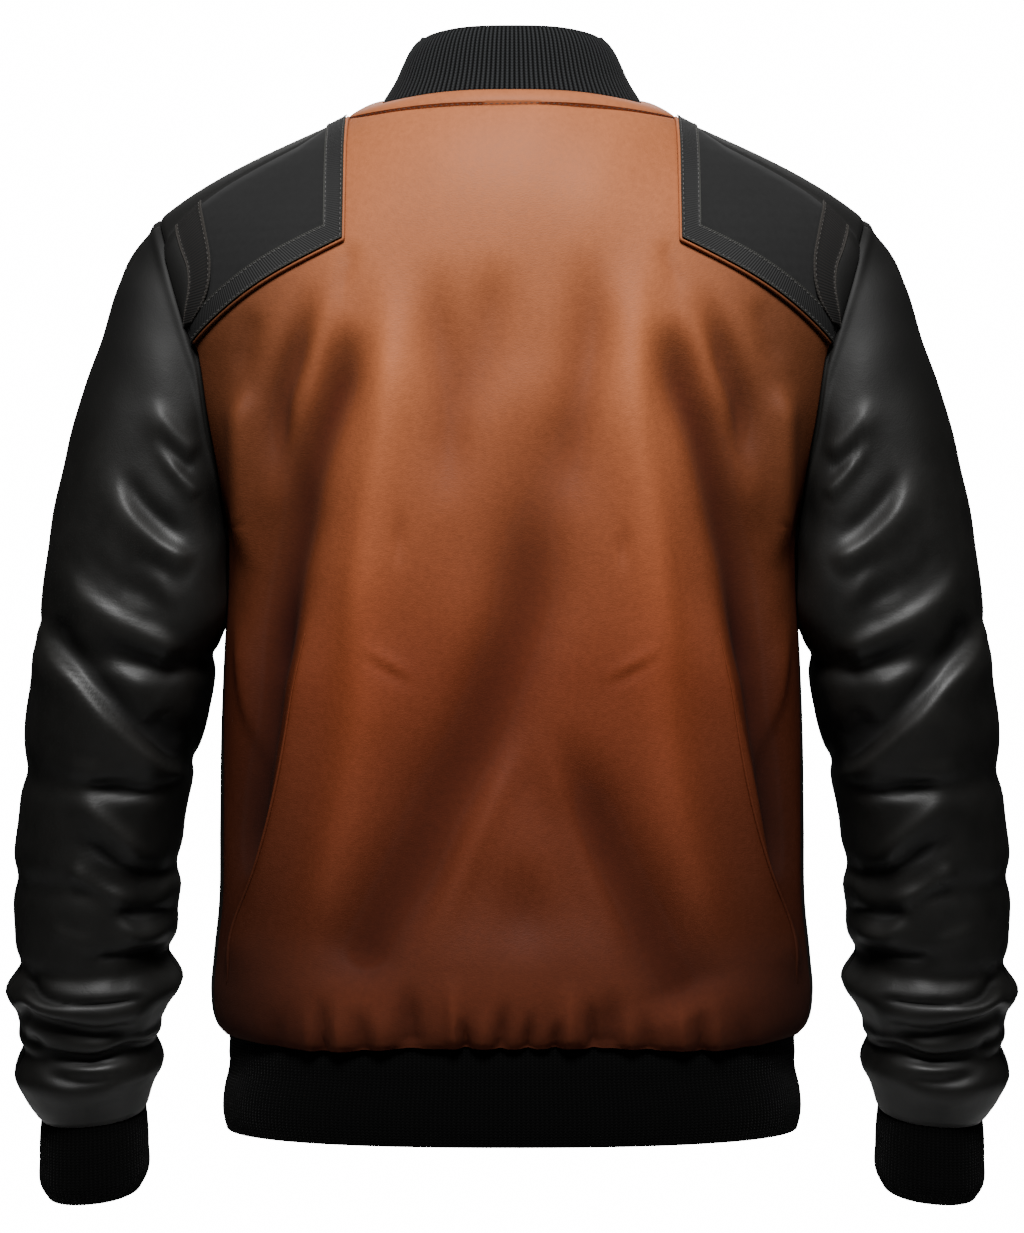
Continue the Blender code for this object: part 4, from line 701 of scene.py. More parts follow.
def make_mesh(name, vertices, faces, uv=None, relief=None):
    """Vertices and four-sided faces into a closed smooth mesh whose faces point out: they are all turned
    round where the volume that they enclose comes out negative. `uv` and `relief` have one row or value for
    each vertex."""
    corners = vertices[faces]
    diagonal = np.cross(corners[:, 2] - corners[:, 0], corners[:, 3] - corners[:, 1])
    if (corners.mean(axis=1) * diagonal).sum() < 0:
        faces = faces[:, ::-1]
    mesh = bpy.data.meshes.new(name)
    mesh.from_pydata(vertices.tolist(), [], faces.tolist())
    mesh.polygons.foreach_set("use_smooth", np.ones(len(mesh.polygons), bool))
    if uv is not None:
        corner = np.zeros(len(mesh.loops), np.int32)
        mesh.loops.foreach_get("vertex_index", corner)
        mesh.uv_layers.new(name="run").data.foreach_set("uv", uv.reshape(-1, 2)[corner].ravel())
    if relief is not None:
        mesh.attributes.new("relief", "FLOAT", "POINT").data.foreach_set("value", relief.ravel())
    mesh.update()
    return mesh


def shell(name, outer, wall, centre=None, uv=None, relief=None):
    """A closed sheet: a grid of points, the same grid `wall` nearer to the centre, and a rim round both."""
    rows, columns = outer.shape[:2]
    out = out_of(outer)
    centre = outer.mean(axis=(0, 1)) if centre is None else np.array(centre)
    if ((outer - centre) * out).sum() < 0:
        out = -out
    index = np.arange(rows * columns).reshape(rows, columns)
    back = index + rows * columns
    rim = (back[0], index[0]), (index[-1], back[-1]), (index[:, 0], back[:, 0]), (back[:, -1], index[:, -1])
    faces = np.concatenate([quads_of(index), quads_of(back)[:, ::-1], *(quads_of(np.stack(pair)) for pair in rim)])
    vertices = np.concatenate([outer.reshape(-1, 3), (outer - out * wall).reshape(-1, 3)])
    uv, relief = (None if value is None else np.stack([value, value]) for value in (uv, relief))
    mesh = make_mesh(name, vertices, faces, uv, relief)
    mesh.set_sharp_from_angle(angle=np.radians(50))
    return mesh


def ring_shell(name, points, ends_open, uv=None, relief=None):
    """A closed sheet from a grid whose rows are a profile's points, out and back again: the last row joins
    the first, and the columns join round, or are capped between the outer and inner rows."""
    rows, columns = points.shape[:2]
    index = np.arange(rows * columns).reshape(rows, columns)
    index = np.concatenate([index, index[:1]])
    faces = [quads_of(index if ends_open else np.concatenate([index, index[:, :1]], axis=1))]
    if ends_open:
        half = (rows + 1) // 2
        for end, turn in ((0, 1), (-1, -1)):
            line = index[:rows, end]
            faces.append(quads_of(np.stack([line[:half], line[::-1][:half]]))[:, ::turn])
    faces = np.concatenate(faces)
    distinct = (np.diff(np.sort(faces, axis=1), axis=1) != 0).all(axis=1)
    return make_mesh(name, points.reshape(-1, 3), faces[distinct], uv, relief)


def repeated(name, template, index, places, across, along, out):
    """One mesh of many copies of a small template (rings, columns, 3), set at places (n, 3) with the
    template's x, y and z turned to the three directions given for each."""
    turned = sum(
        template[None, ..., axis : axis + 1] * way[:, None, None] for axis, way in enumerate((across, along, out))
    )
    vertices = (places[:, None, None] + turned).reshape(-1, 3)
    size = template.shape[0] * template.shape[1]
    faces = (index[None] + (np.arange(len(places)) * size)[:, None, None]).reshape(-1, 4)
    return make_mesh(name, vertices, faces)


def capsule(length, radius):
    """A stitch: a thread between two holes, six-sided rings along +Y whose radius and height follow
    sqrt(1 - s^2), and the faces between them, the ends drawn nearly shut."""
    sides = 6
    share = np.array([-1.0, -0.86, -0.45, 0.0, 0.45, 0.86, 1.0])
    swell = np.sqrt(np.clip(1 - share**2, 0.0, 1.0)) * 0.9 + 0.1
    turn = np.arange(sides) * 2 * np.pi / sides
    rings = np.stack([
        np.cos(turn) * swell[:, None] * radius,
        np.broadcast_to(share[:, None] * length / 2, (len(share), sides)),
        np.sin(turn) * swell[:, None] * radius - (1 - swell[:, None]) * radius,
    ], axis=-1)
    index = np.arange(len(share) * sides).reshape(len(share), sides)
    around = quads_of(np.concatenate([index, index[:, :1]], axis=1))
    caps = np.array([[0, 1, 2, 3], [0, 3, 4, 5]])
    return rings, np.concatenate([around, caps, (caps + index[-1, 0])[:, ::-1]])


def stitches_along(points, out, pitch):
    """Places, and directions across, along and out, of evenly spaced stitches on a line of points."""
    run = run_along(points)
    count = max(int(run[-1] / pitch), 1)
    at = (np.arange(count) + 0.5) * run[-1] / count
    along = unit(places_at(at + pitch / 2, run, points) - places_at(at - pitch / 2, run, points))
    across = unit(np.cross(along, places_at(at, run, out)))
    return places_at(at, run, points), across, along, np.cross(across, along)


UP = np.array([0.0, 0.0, 1.0])
# each side's name, and what the left side's points are multiplied by there
SIDES = (("left", np.array([1.0, 1.0, 1.0])), ("right", np.array([-1.0, 1.0, 1.0])))


def last_axis(points):
    """Turns arrays of x, y and z into one array of points."""
    return np.moveaxis(points, 0, -1)


# ---- materials
def linear(hex_colour):
    """An sRGB hex colour as linear red, green, blue and 1."""
    parts = np.array([int(hex_colour[at : at + 2], 16) / 255 for at in (1, 3, 5)])
    parts = np.where(parts <= 0.04045, parts / 12.92, ((parts + 0.055) / 1.055) ** 2.4)
    return (*parts.tolist(), 1.0)


def add_node(tree, kind, inputs=None, **settings):
    """Adds a shader node with its settings; each input is a value or another node's output."""
    made = tree.nodes.new(kind)
    for name, value in settings.items():
        setattr(made, name, value)
    for name, value in (inputs or {}).items():
        if isinstance(value, bpy.types.NodeSocket):
            tree.links.new(value, made.inputs[name])
        else:
            made.inputs[name].default_value = value
    return made


def new_material(name, **sockets):
    """A material with one Principled shader, whose constants are the sockets given, and its tree."""
    made = bpy.data.materials.new(name)
    made.use_nodes = True
    shader = made.node_tree.nodes["Principled BSDF"]
    for socket, value in sockets.items():
        shader.inputs[socket.replace("_", " ")].default_value = value
    return made, made.node_tree


def joined(made, **sockets):
    """The material, with nodes' outputs linked to its shader's sockets."""
    shader = made.node_tree.nodes["Principled BSDF"]
    for socket, output in sockets.items():
        made.node_tree.links.new(output, shader.inputs[socket.replace("_", " ")])
    return made


# the sockets of the Map Range and Bump nodes, in the order that their values are given in below
RANGE = ("Value", "From Min", "From Max", "To Min", "To Max")
BUMP = ("Strength", "Distance", "Height", "Normal")


def clouded(tree, first, second, **noise):
    """The object's coordinates, soft noise in them, and two colours mixed by it."""
    where = add_node(tree, "ShaderNodeTexCoord").outputs["Object"]
    cloud = add_node(tree, "ShaderNodeTexNoise", {"Vector": where, **noise}).outputs["Fac"]
    tone = add_node(tree, "ShaderNodeMix", {0: cloud, 6: linear(first), 7: linear(second)}, data_type="RGBA")
    return where, cloud, tone.outputs[2]


def waxed_tan_leather(colours):
    """Vegetable-tanned cowhide, waxed: a warm tan with a fine slanting grain and a satin shine. Its colour is
    painted darker towards the hem and the side seams as painted shade, paler on the ridges as painted highlight
    and deep brown in the hollows as painted shade, these two with some pull-up wear of the wax."""
    made, tree = new_material("waxed tan cowhide", IOR=1.46, Specular_IOR_Level=0.16)
    where = add_node(tree, "ShaderNodeTexCoord").outputs["Object"]
    parts = add_node(tree, "ShaderNodeSeparateXYZ", {"Vector": where}).outputs
    out = add_node(tree, "ShaderNodeMath", {0: parts["X"]}, operation="ABSOLUTE").outputs[0]
    proud = add_node(tree, "ShaderNodeAttribute", attribute_name="relief").outputs["Fac"]
    cloud, mottle = (
        add_node(tree, "ShaderNodeTexNoise", {"Vector": where, "Scale": scale, "Detail": detail, "Roughness": rough})
        for scale, detail, rough in ((9.0, 3.0, 0.5), (260.0, 5.0, 0.7))
    )
    mottled = mottle.outputs["Fac"]
    warped = add_node(
        tree, "ShaderNodeMath", {0: cloud.outputs["Fac"], 1: 0.05, 2: parts["Z"]}, operation="MULTIPLY_ADD"
    ).outputs[0]
    middle, shoulder, shade, painted_shade_and_wear, dull, burnt = (
        add_node(tree, "ShaderNodeMapRange", dict(zip(RANGE, row))).outputs["Result"] for row in (
            (warped, -0.58, -0.30, 0.0, 1.0),
            (warped, -0.34, -0.04, 0.0, 1.0),
            (mottled, 0.3, 0.7, 0.90, 1.10),
            (proud, -0.017, 0.0075, 0.0, 1.0),
            (mottled, 0.3, 0.7, 0.54, 0.64),
            (parts["Z"], -0.45, -0.56, 0.0, 0.9),
        )
    )
    # side paints the tan darker from |x| 86 mm to 188 mm: painted shade where the light falls off round the sides
    side, hollow = (
        add_node(tree, "ShaderNodeMapRange", dict(zip(RANGE, row)), interpolation_type=kind).outputs["Result"]
        for kind, row in (
            ("SMOOTHSTEP", (out, 0.086, 0.188, 1.0, 0.34)),
            ("LINEAR", (painted_shade_and_wear, 0.35, 0.66, 0.95, 0.0)),
        )
    )
    # the hide's colour, painted darker towards the hem as painted shade, mottled, then painted shade in the hollows,
    # painted highlight on the crests, both with some pull-up wear, and painted shade towards the sides
    base = linear(colours.tan_hem)
    for share, colour in ((middle, colours.tan_middle), (shoulder, colours.tan_shoulder)):
        base = add_node(tree, "ShaderNodeMix", {0: share, 6: base, 7: linear(colour)}, data_type="RGBA").outputs[2]
    # by the relief, the hollows painted deep brown and the crests paler: painted shade and painted highlight, with some
    # pull-up wear
    tint = add_node(
        tree, "ShaderNodeMix", {0: painted_shade_and_wear, 6: (0.20, 0.12, 0.11, 1.0), 7: (1.34, 1.36, 1.36, 1.0)}, data_type="RGBA"
    ).outputs[2]
    for kind, socket, value in (("SCALE", "Scale", shade), ("MULTIPLY", 1, tint), ("SCALE", "Scale", side)):
        base = add_node(tree, "ShaderNodeVectorMath", {0: base, socket: value}, operation=kind).outputs[0]
    # fine closed grain that slants, about 1 mm across, drawn a little coarser than the hide's own
    slant = add_node(
        tree, "ShaderNodeMapping", {"Vector": where, "Rotation": (0.0, 0.6, 0.0), "Scale": (1.0, 1.0, 1.9)}
    ).outputs[0]
    pebble = add_node(tree, "ShaderNodeTexVoronoi", {"Vector": slant, "Scale": 620.0, "Randomness": 1.0})
    pores = add_node(tree, "ShaderNodeTexNoise", {"Vector": slant, "Scale": 380.0, "Detail": 3.0})
    low = add_node(tree, "ShaderNodeBump", dict(zip(BUMP, (0.30, 0.0003, pores.outputs["Fac"])))).outputs[0]
    fine = add_node(tree, "ShaderNodeBump", dict(zip(BUMP, (0.30, 0.00025, pebble.outputs["Distance"], low))))
    for level in (hollow, burnt):
        dull = add_node(tree, "ShaderNodeMath", {0: dull, 1: level}, operation="MAXIMUM").outputs[0]
    return joined(made, Base_Color=base, Roughness=dull, Normal=fine.outputs[0])


def smooth_black_leather(colours):
    """Chrome-tanned lambskin, dyed through and finished with a thin coat: black and nearly smooth, with a soft
    gleam along its folds' crests, little at the shoulders and none in the hollows. Its colour is painted
    darker in the hollows and towards the shoulders as painted shade and paler on the crests as painted
    highlight, with some wear of the coat."""
    made, tree = new_material("smooth black lambskin", IOR=1.5, Specular_IOR_Level=0.30)
    where, cloud, tone = clouded(tree, colours.black_leather, "#1e1d1b", Scale=38.0, Detail=5.0, Roughness=0.6)
    height = add_node(tree, "ShaderNodeSeparateXYZ", {"Vector": where}).outputs["Z"]
    proud = add_node(tree, "ShaderNodeAttribute", attribute_name="relief").outputs["Fac"]
    painted_shade_and_wear, painted_top_shade, dull, hollow, unworn = (
        add_node(tree, "ShaderNodeMapRange", dict(zip(RANGE, row))).outputs["Result"] for row in (
            (proud, -0.005, 0.004, 0.25, 1.2),
            (height, -0.23, -0.14, 1.0, 0.55),
            (cloud, 0.3, 0.7, 0.44, 0.54),
            (proud, -0.004, 0.0, 0.8, 0.0),
            (height, -0.23, -0.14, 0.44, 0.68),
        )
    )
    # the tone scaled by relief and height: painted shade in the hollows and towards the shoulders, painted highlight on
    # the crests
    shade = add_node(tree, "ShaderNodeMath", {0: painted_shade_and_wear, 1: painted_top_shade}, operation="MULTIPLY").outputs[0]
    tone_and_painted_shade = add_node(tree, "ShaderNodeVectorMath", {0: tone, "Scale": shade}, operation="SCALE")
    for level in (hollow, unworn):
        dull = add_node(tree, "ShaderNodeMath", {0: dull, 1: level}, operation="MAXIMUM").outputs[0]
    # soft wrinkles about 9 mm long, and a grain 1 mm across
    wrinkle = add_node(tree, "ShaderNodeTexNoise", {"Vector": where, "Scale": 110.0, "Detail": 3.0, "Distortion": 0.6})
    low = add_node(tree, "ShaderNodeBump", dict(zip(BUMP, (0.13, 0.0012, wrinkle.outputs["Fac"])))).outputs[0]
    grain = add_node(tree, "ShaderNodeTexVoronoi", {"Vector": where, "Scale": 950.0})
    fine = add_node(tree, "ShaderNodeBump", dict(zip(BUMP, (0.18, 0.0002, grain.outputs["Distance"], low))))
    return joined(made, Base_Color=tone_and_painted_shade.outputs[0], Roughness=dull, Normal=fine.outputs[0])


def matte_patch_cloth(colours):
    """Fine cotton faille: flat black, with ribs across it too fine to see singly, which only mute it."""
    made, tree = new_material(
        "black cotton faille", Roughness=0.85, Specular_IOR_Level=0.25, Sheen_Weight=0.05, Sheen_Roughness=0.5
    )
    where, _, tone = clouded(tree, colours.patch_cloth, "#151515", Scale=300.0, Detail=4.0)
    # ribs 1.3 mm apart, drawn a little coarser than the cloth's own
    rib = add_node(
        tree, "ShaderNodeTexWave", {"Vector": where, "Scale": 38.0, "Distortion": 0.4, "Detail": 1.0},
        wave_type="BANDS", bands_direction="Z",
    )
    bump = add_node(tree, "ShaderNodeBump", dict(zip(BUMP, (0.25, 0.0003, rib.outputs["Fac"]))))
    return joined(made, Base_Color=tone, Normal=bump.outputs[0])


def twill_tape(colours, name, selvedge_highlight_hex, tint_hex, ribs_each_mm):
    """Woven grosgrain tape, its UV in millimetres along (u) and from 0 to 1 across (v): crosswise ribs, and firm
    selvedges painted paler, a painted highlight where they catch the light."""
    made, tree = new_material(name, Roughness=0.72, Specular_IOR_Level=0.35)
    run = add_node(tree, "ShaderNodeUVMap", uv_map="run").outputs[0]
    parts = add_node(tree, "ShaderNodeSeparateXYZ", {"Vector": run}).outputs
    rib, off = parts["X"], parts["Y"]
    for kind, value in (("MULTIPLY", {1: ribs_each_mm * 2 * np.pi}), ("SINE", {})):
        rib = add_node(tree, "ShaderNodeMath", {0: rib, **value}, operation=kind).outputs[0]
    for kind, value in (("SUBTRACT", {1: 0.5}), ("ABSOLUTE", {})):
        off = add_node(tree, "ShaderNodeMath", {0: off, **value}, operation=kind).outputs[0]
    # the selvedges painted paler: a painted highlight
    edge = add_node(tree, "ShaderNodeMapRange", dict(zip(RANGE, (off, 0.40, 0.48, 0.0, 1.0)))).outputs["Result"]
    tone = linear(colours.tape)
    for share, colour in ((rib, tint_hex), (edge, selvedge_highlight_hex)):
        tone = add_node(
            tree, "ShaderNodeMix", {0: share, 6: tone, 7: linear(colour)}, data_type="RGBA", clamp_factor=True
        ).outputs[2]
    bump = add_node(tree, "ShaderNodeBump", dict(zip(BUMP, (0.35, 0.0003, rib))))
    return joined(made, Base_Color=tone, Normal=bump.outputs[0])


def rib_knit(colours, place, crown_hex):
    """Wool rib knit: charcoal-black, matte and slightly hairy. The ribs are in the mesh; the material adds each
    rib's small loops, 1.9 mm tall, and paints the furrows darker than the ribs' crowns: painted shade."""
    made, tree = new_material(
        f"black wool rib knit, {place}", Roughness=0.95, Specular_IOR_Level=0.08, Sheen_Weight=0.03,
        Sheen_Roughness=0.4,
    )
    run = add_node(tree, "ShaderNodeUVMap", uv_map="run").outputs[0]
    parts = add_node(tree, "ShaderNodeSeparateXYZ", {"Vector": run}).outputs
    turn = add_node(tree, "ShaderNodeMath", {0: parts["X"], 1: 2 * np.pi}, operation="MULTIPLY").outputs[0]
    crown = add_node(tree, "ShaderNodeMath", {0: turn}, operation="COSINE").outputs[0]
    # the furrows painted darker than the crowns: painted shade between the ribs
    pale = add_node(tree, "ShaderNodeMapRange", dict(zip(RANGE, (crown, -0.9, 1.0, 0.0, 1.0)))).outputs["Result"]
    tone = add_node(
        tree, "ShaderNodeMix", {0: pale, 6: linear(colours.rib_furrow), 7: linear(crown_hex)}, data_type="RGBA"
    )
    slant = add_node(tree, "ShaderNodeMath", {0: crown, 1: 1.6, 2: parts["Y"]}, operation="MULTIPLY_ADD").outputs[0]
    loop = add_node(tree, "ShaderNodeMath", {0: slant}, operation="SINE").outputs[0]
    where = add_node(tree, "ShaderNodeTexCoord").outputs["Object"]
    hair = add_node(tree, "ShaderNodeTexNoise", {"Vector": where, "Scale": 900.0, "Detail": 2.0})
    low = add_node(tree, "ShaderNodeBump", dict(zip(BUMP, (0.5, 0.0004, loop)))).outputs[0]
    fine = add_node(tree, "ShaderNodeBump", dict(zip(BUMP, (0.4, 0.0004, hair.outputs["Fac"], low))))
    return joined(made, Base_Color=tone.outputs[2], Normal=fine.outputs[0])


def waxed_thread(_, name, thread_hex):
    """Waxed polyester sewing thread: two plies twisted, a dull shine. Its colour is its own."""
    made, tree = new_material(name, Roughness=0.5, Specular_IOR_Level=0.4)
    _, ply, tone = clouded(tree, thread_hex, "#3a3632", Scale=1500.0, Detail=1.0)
    bump = add_node(tree, "ShaderNodeBump", dict(zip(BUMP, (0.5, 0.0002, ply))))
    return joined(made, Base_Color=tone, Normal=bump.outputs[0])


def antique_zip_metal(colours):
    """Brass zip parts, die-cast and plated in a dark antique finish: grey-brown metal, tumbled to a soft
    gleam, with duller patches."""
    made, tree = new_material("antique plated brass", Metallic=1.0)
    _, patch, tone = clouded(tree, "#5d574e", colours.zip_metal, Scale=260.0, Detail=4.0)
    dull = add_node(tree, "ShaderNodeMapRange", dict(zip(RANGE, (patch, 0.3, 0.7, 0.24, 0.42))))
    return joined(made, Base_Color=tone, Roughness=dull.outputs["Result"])


finishes = {}


def finish(kind, *extra):
    """The material that one of the functions above makes, made once and then kept."""
    if (kind, *extra) not in finishes:
        finishes[(kind, *extra)] = kind(bpy.context.scene.jacket_colours, *extra)
    return finishes[(kind, *extra)]


def add_piece(mesh, material, slot, nodes=(), flat=None, held="hung", area=None, rests_on=()):
    """Puts a mesh into the scene as a piece of the jacket, with its material, and hides the parts that it stands for;
    its cut is not used.
    """
    piece = bpy.data.objects.new(mesh.name, mesh)
    bpy.context.scene.collection.objects.link(piece)
    mesh.materials.append(material)
    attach(piece, "jacket")
    if nodes:
        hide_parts(*nodes)


# ---- what a user may change
def length_field(name, description, default, low, high):
    """A length in metres, with the limits that it may be set between."""
    return bpy.props.FloatProperty(
        name=name, description=description, default=default, min=low, max=high, unit="LENGTH"
    )


class JacketSizes(bpy.types.PropertyGroup):
    leather_wall: length_field("Leather", "Thickness of the leather panels", 0.0015, 0.0008, 0.003)
    rib_pitch: length_field("Rib pitch", "Distance between neighbouring ribs of the knit", 0.0029, 0.002, 0.006)
    rib_depth: length_field("Rib depth", "Depth of the furrow between two ribs", 0.0008, 0.0002, 0.002)
    rib_wall: length_field("Rib knit", "Thickness of the doubled rib knit", 0.0024, 0.0015, 0.004)
    stitch_pitch: length_field("Stitch pitch", "Distance from one stitch to the next", 0.0036, 0.002, 0.008)
    thread: length_field("Thread", "Diameter of the sewing thread", 0.0006, 0.0003, 0.0012)
    tooth_pitch: length_field("Tooth pitch", "Distance between teeth on one side of the zip", 0.0030, 0.002, 0.005)


def colour_field(name, description, default):
    """A colour that is typed as #rrggbb."""
    return bpy.props.StringProperty(name=name, description=description, default=default)


class JacketColours(bpy.types.PropertyGroup):
    # the three tan colours step the back's leather darker from shoulder to hem: painted shade of light falling off
    # downwards
    tan_shoulder: colour_field("Tan, top", "Colour of the back's leather at the shoulders", "#935736")
    tan_middle: colour_field("Tan, middle", "Colour of the back's leather halfway down", "#6f341c")
    # the hem's colour is painted shade, the darkest step of that gradient
    tan_hem: colour_field("Tan, bottom", "Colour that the back's leather is burnished to at the hem", "#4a2213")
    black_leather: colour_field("Black leather", "Colour of the sleeves and fronts", "#131312")
    patch_cloth: colour_field("Patch cloth", "Colour of the shoulder patches", "#0b0b0b")
    tape: colour_field("Tape", "Colour of the twill tapes", "#060606")
    rib_collar: colour_field("Rib, collar", "Colour of the collar's ribs", "#262728")
    # painted shade: the collar's knit, painted darker at the hem and cuffs where less light reaches
    rib_hem: colour_field("Rib, hem", "Colour of the hem's and cuffs' ribs", "#060606")
    # painted shade: the colour that the furrows between the ribs are painted
    rib_furrow: colour_field("Rib, furrow", "Colour between the ribs", "#020202")
    zip_metal: colour_field("Zip metal", "Colour of the zip's metal", "#8d867a")


# ---- the pieces' grids
def panel_rows(across, side, upper, lower, first_angle):
    """The `down` parameter of each row at each column: `upper` shares from the top edge to the underarm,
    which turn to even angles on the armhole, and `lower` shares from the underarm to the hem."""
    size = np.abs(across)
    top = down_at_top(across, side)
    underarm = down_at_height(across, np.full_like(size, UNDERARM), side)
    weight = ease((size - 0.6) / 0.4)
    edge = armhole_down(first_angle + (180 - first_angle) * upper)[:, None]
    rows = top + (underarm - top) * upper[:, None]
    rows = rows + (edge - rows[:, -1:]) * weight
    return np.concatenate([rows, underarm + (1 - underarm) * lower[1:, None]])


def panel_columns(first, neck_columns, outer_columns):
    """The `across` parameter of each column: from `first` to the side of the neck, closer together there,
    and on to the armhole, closer together there too."""
    neck, outer = (1 - (1 - np.linspace(0, 1, count + 1)) ** 1.5 for count in (neck_columns, outer_columns))
    start = across_at_x(first + (NECK_HALF_WIDTH - first) * neck)
    return np.concatenate([start[:-1], NECK_ACROSS + (1 - NECK_ACROSS) * outer])


EDGE_TURN = 0.0026  # how far from a seam a panel's edge turns down


def sew_panel(points, normal, depths, gaps):
    """A panel's points with each edge turned down to its seam, by depth times exp(-(distance / EDGE_TURN)^2),
    and drawn in by its gap. The edges are the first row, last row, first column and last column."""
    down, over = lengths(points, 0), lengths(points, 1)
    away = (down, down[-1:] - down, over, over[:, -1:] - over)
    dip = sum(depth * np.exp(-((run / EDGE_TURN) ** 2)) for depth, run in zip(depths, away))
    return draw_in(points - normal * dip[..., None], gaps)


def back_panel_points():
    """The back: one panel over both halves, from neckline and shoulder seams to the hem."""
    half = panel_columns(0, 62, 52)
    across = np.concatenate([-half[:0:-1], half])
    upper = np.linspace(0, 1, 79) ** 1.3
    lower = 1 - (1 - np.linspace(0, 1, 118)) ** 1.3
    down = panel_rows(across, BACK, upper, lower, SEAM_ANGLE)
    point, normal, relief = body_point(across, down, BACK, 0.0, BACK_CREASES)
    x, y, z = point
    low = ease((-0.545 - z) / 0.046)
    sag = 0.0016 + 0.0034 * np.exp(-(((np.abs(x) - 0.125) / 0.042) ** 2)) - 0.0016 * ease((np.abs(x) - 0.14) / 0.05)
    point = np.stack([x, y + 0.0012 * low, z - sag * low])
    return sew_panel(last_axis(point), last_axis(normal), (0.0026, 0.0010, 0.0006, 0.0012), (0.0004,) * 4), relief


def front_panel_points():
    """The left front: from zip to side seam, and from neckline and shoulder seam to the hem."""
    across = panel_columns(ZIP_HALF_GAP, 40, 40)
    upper = np.linspace(0, 1, 84) ** 1.2
    lower = 1 - (1 - np.linspace(0, 1, 100)) ** 1.3
    down = panel_rows(across, FRONT, upper, lower, -SEAM_ANGLE)
    point, normal, relief = body_point(across, down, FRONT, 0.0, FRONT_CREASES)
    points = last_axis(point)
    points[:, 0, 0] = ZIP_HALF_GAP
    points[:, 1, 0] = np.maximum(points[:, 1, 0], ZIP_HALF_GAP + 0.0006)
    return sew_panel(points, last_axis(normal), (0.0012, 0.0010, 0.0005, 0.0012), (0.0004, 0.0004, 0.0, 0.0004)), relief


def sleeve_half_points(first_angle, last_angle, columns, rows):
    """One half of the left sleeve between two angles round it: the smooth tube, moved along its own normal
    by the creases of the face that it turns to and by the puff beside the armhole seam."""
    angle = first_angle + (last_angle - first_angle) * spread(columns, 0.6)
    along = SLEEVE_LENGTH * spread(rows, 0.45)
    points = sleeve_form(angle[None, :], along[:, None])
    out = out_of(points)
    middle = points.mean(axis=1, keepdims=True)
    out = out * np.sign(((points - middle) * out).sum())
    behind = ease(0.5 + 0.9 * out[..., 1])
    x, y, z = np.moveaxis(points, -1, 0)
    relief = crease_relief(SLEEVE_BACK_CREASES, x, z) * behind
    relief = relief + crease_relief(SLEEVE_FRONT_CREASES, x, z) * (1 - behind)
    relief = relief + 0.0008 * unevenness(x + y, z, 0.04, 8)
    run = lengths(points, 0)
    relief = relief * ease(run / 0.012) * ease((run[-1:] - run) / 0.008)
    puff = 0.0014 * np.exp(-(((run - 0.0055) / 0.0040) ** 2))
    points = points + out * (relief + puff)[..., None]
    points = last_axis(clear_of_body(np.moveaxis(points, -1, 0), along[:, None], CREASED_CLEARANCE))
    return sew_panel(points, out, (0.0010, 0.0010, 0.0011, 0.0011), (0.0006, 0.0, 0.0005, 0.0005)), relief


def neckline(turn):
    """The edge of the body's panels round the neck, for turns from -90 degrees at the front centre, over the
    left shoulder and the back, to 270."""
    crest_x = NECK_HALF_WIDTH * np.cos(turn)
    across = across_at_x(np.abs(crest_x)) * np.where(crest_x < 0, RIGHT, LEFT)
    back, front = (
        body_point(across, down_at_y(np.abs(across), neck_y(crest_x, side), side), side)[0]
        for side in (BACK, FRONT)
    )
    return np.where(np.sin(turn) > 0, back, front).T


def neck_ring(turn):
    """What the neck band and the collar are built on, for each turn: the panels' edge, the direction out in
    plan, and how far the place lies to the front."""
    outwards = np.stack([np.cos(turn), np.sin(turn), np.zeros_like(turn)], axis=1)
    return neckline(turn), outwards, np.clip(-outwards[:, 1:2], 0, 1)


BAND_ROLL = 0.0036
NECK_START = np.arccos(ZIP_HALF_GAP / NECK_HALF_WIDTH)  # how far round the front the neck's pieces begin


def band_points(turn, share, swell):
    """The neck band's face at shares of its width: it slopes in and up from the panels' edge."""
    edge, outwards, front = neck_ring(turn)
    reach = BAND_REACH * (1 + BAND_SIDE_REACH * outwards[:, :1] ** 2) * (1 - 0.35 * front)
    rise = BAND_RISE + 0.004 * front
    roll = swell[:, None, None] * (1 - 0.55 * outwards[None, :, :1] ** 2)
    return (
        edge[None] - (outwards * reach)[None] * share[:, None, None]
        + outwards[None] * roll * 0.7 + UP * (rise[None] * share[:, None, None] + roll)
    )


def collar_points(turn, share, inward, rise, ribs):
    """The rib collar: rings at shares of its height that lean in as its stands do, `inward` from its outer
    face and `rise` over it, with `ribs` out along the plan's direction."""
    outwards = neck_ring(turn)[1]
    dip = COLLAR_DIP * np.exp(-(((np.sin(turn) + 0.17) / 0.5) ** 2))[:, None]
    base = band_points(turn, np.array([1.0]), np.array([0.0]))[0] - outwards * 0.0008 + UP * (SEAM_GAP + 0.0004)
    lean = through(COLLAR_STANDS, "share", "lean", share)[:, None, None]
    lean = lean * (1 - 0.3 * np.abs(outwards[None, :, 1:2]))
    end = np.abs(base[:, :1]) - ZIP_HALF_GAP
    corner = np.where(np.sin(turn)[:, None] < -0.8, 0.30 * np.exp(-((end / 0.010) ** 2)), 0.0)
    height = COLLAR_HEIGHT * (1 - dip - corner)
    points = base[None] - outwards[None] * (lean + inward[:, None, None] - ribs[..., None])
    return points + UP * (height[None] * share[:, None, None] + rise[:, None, None])


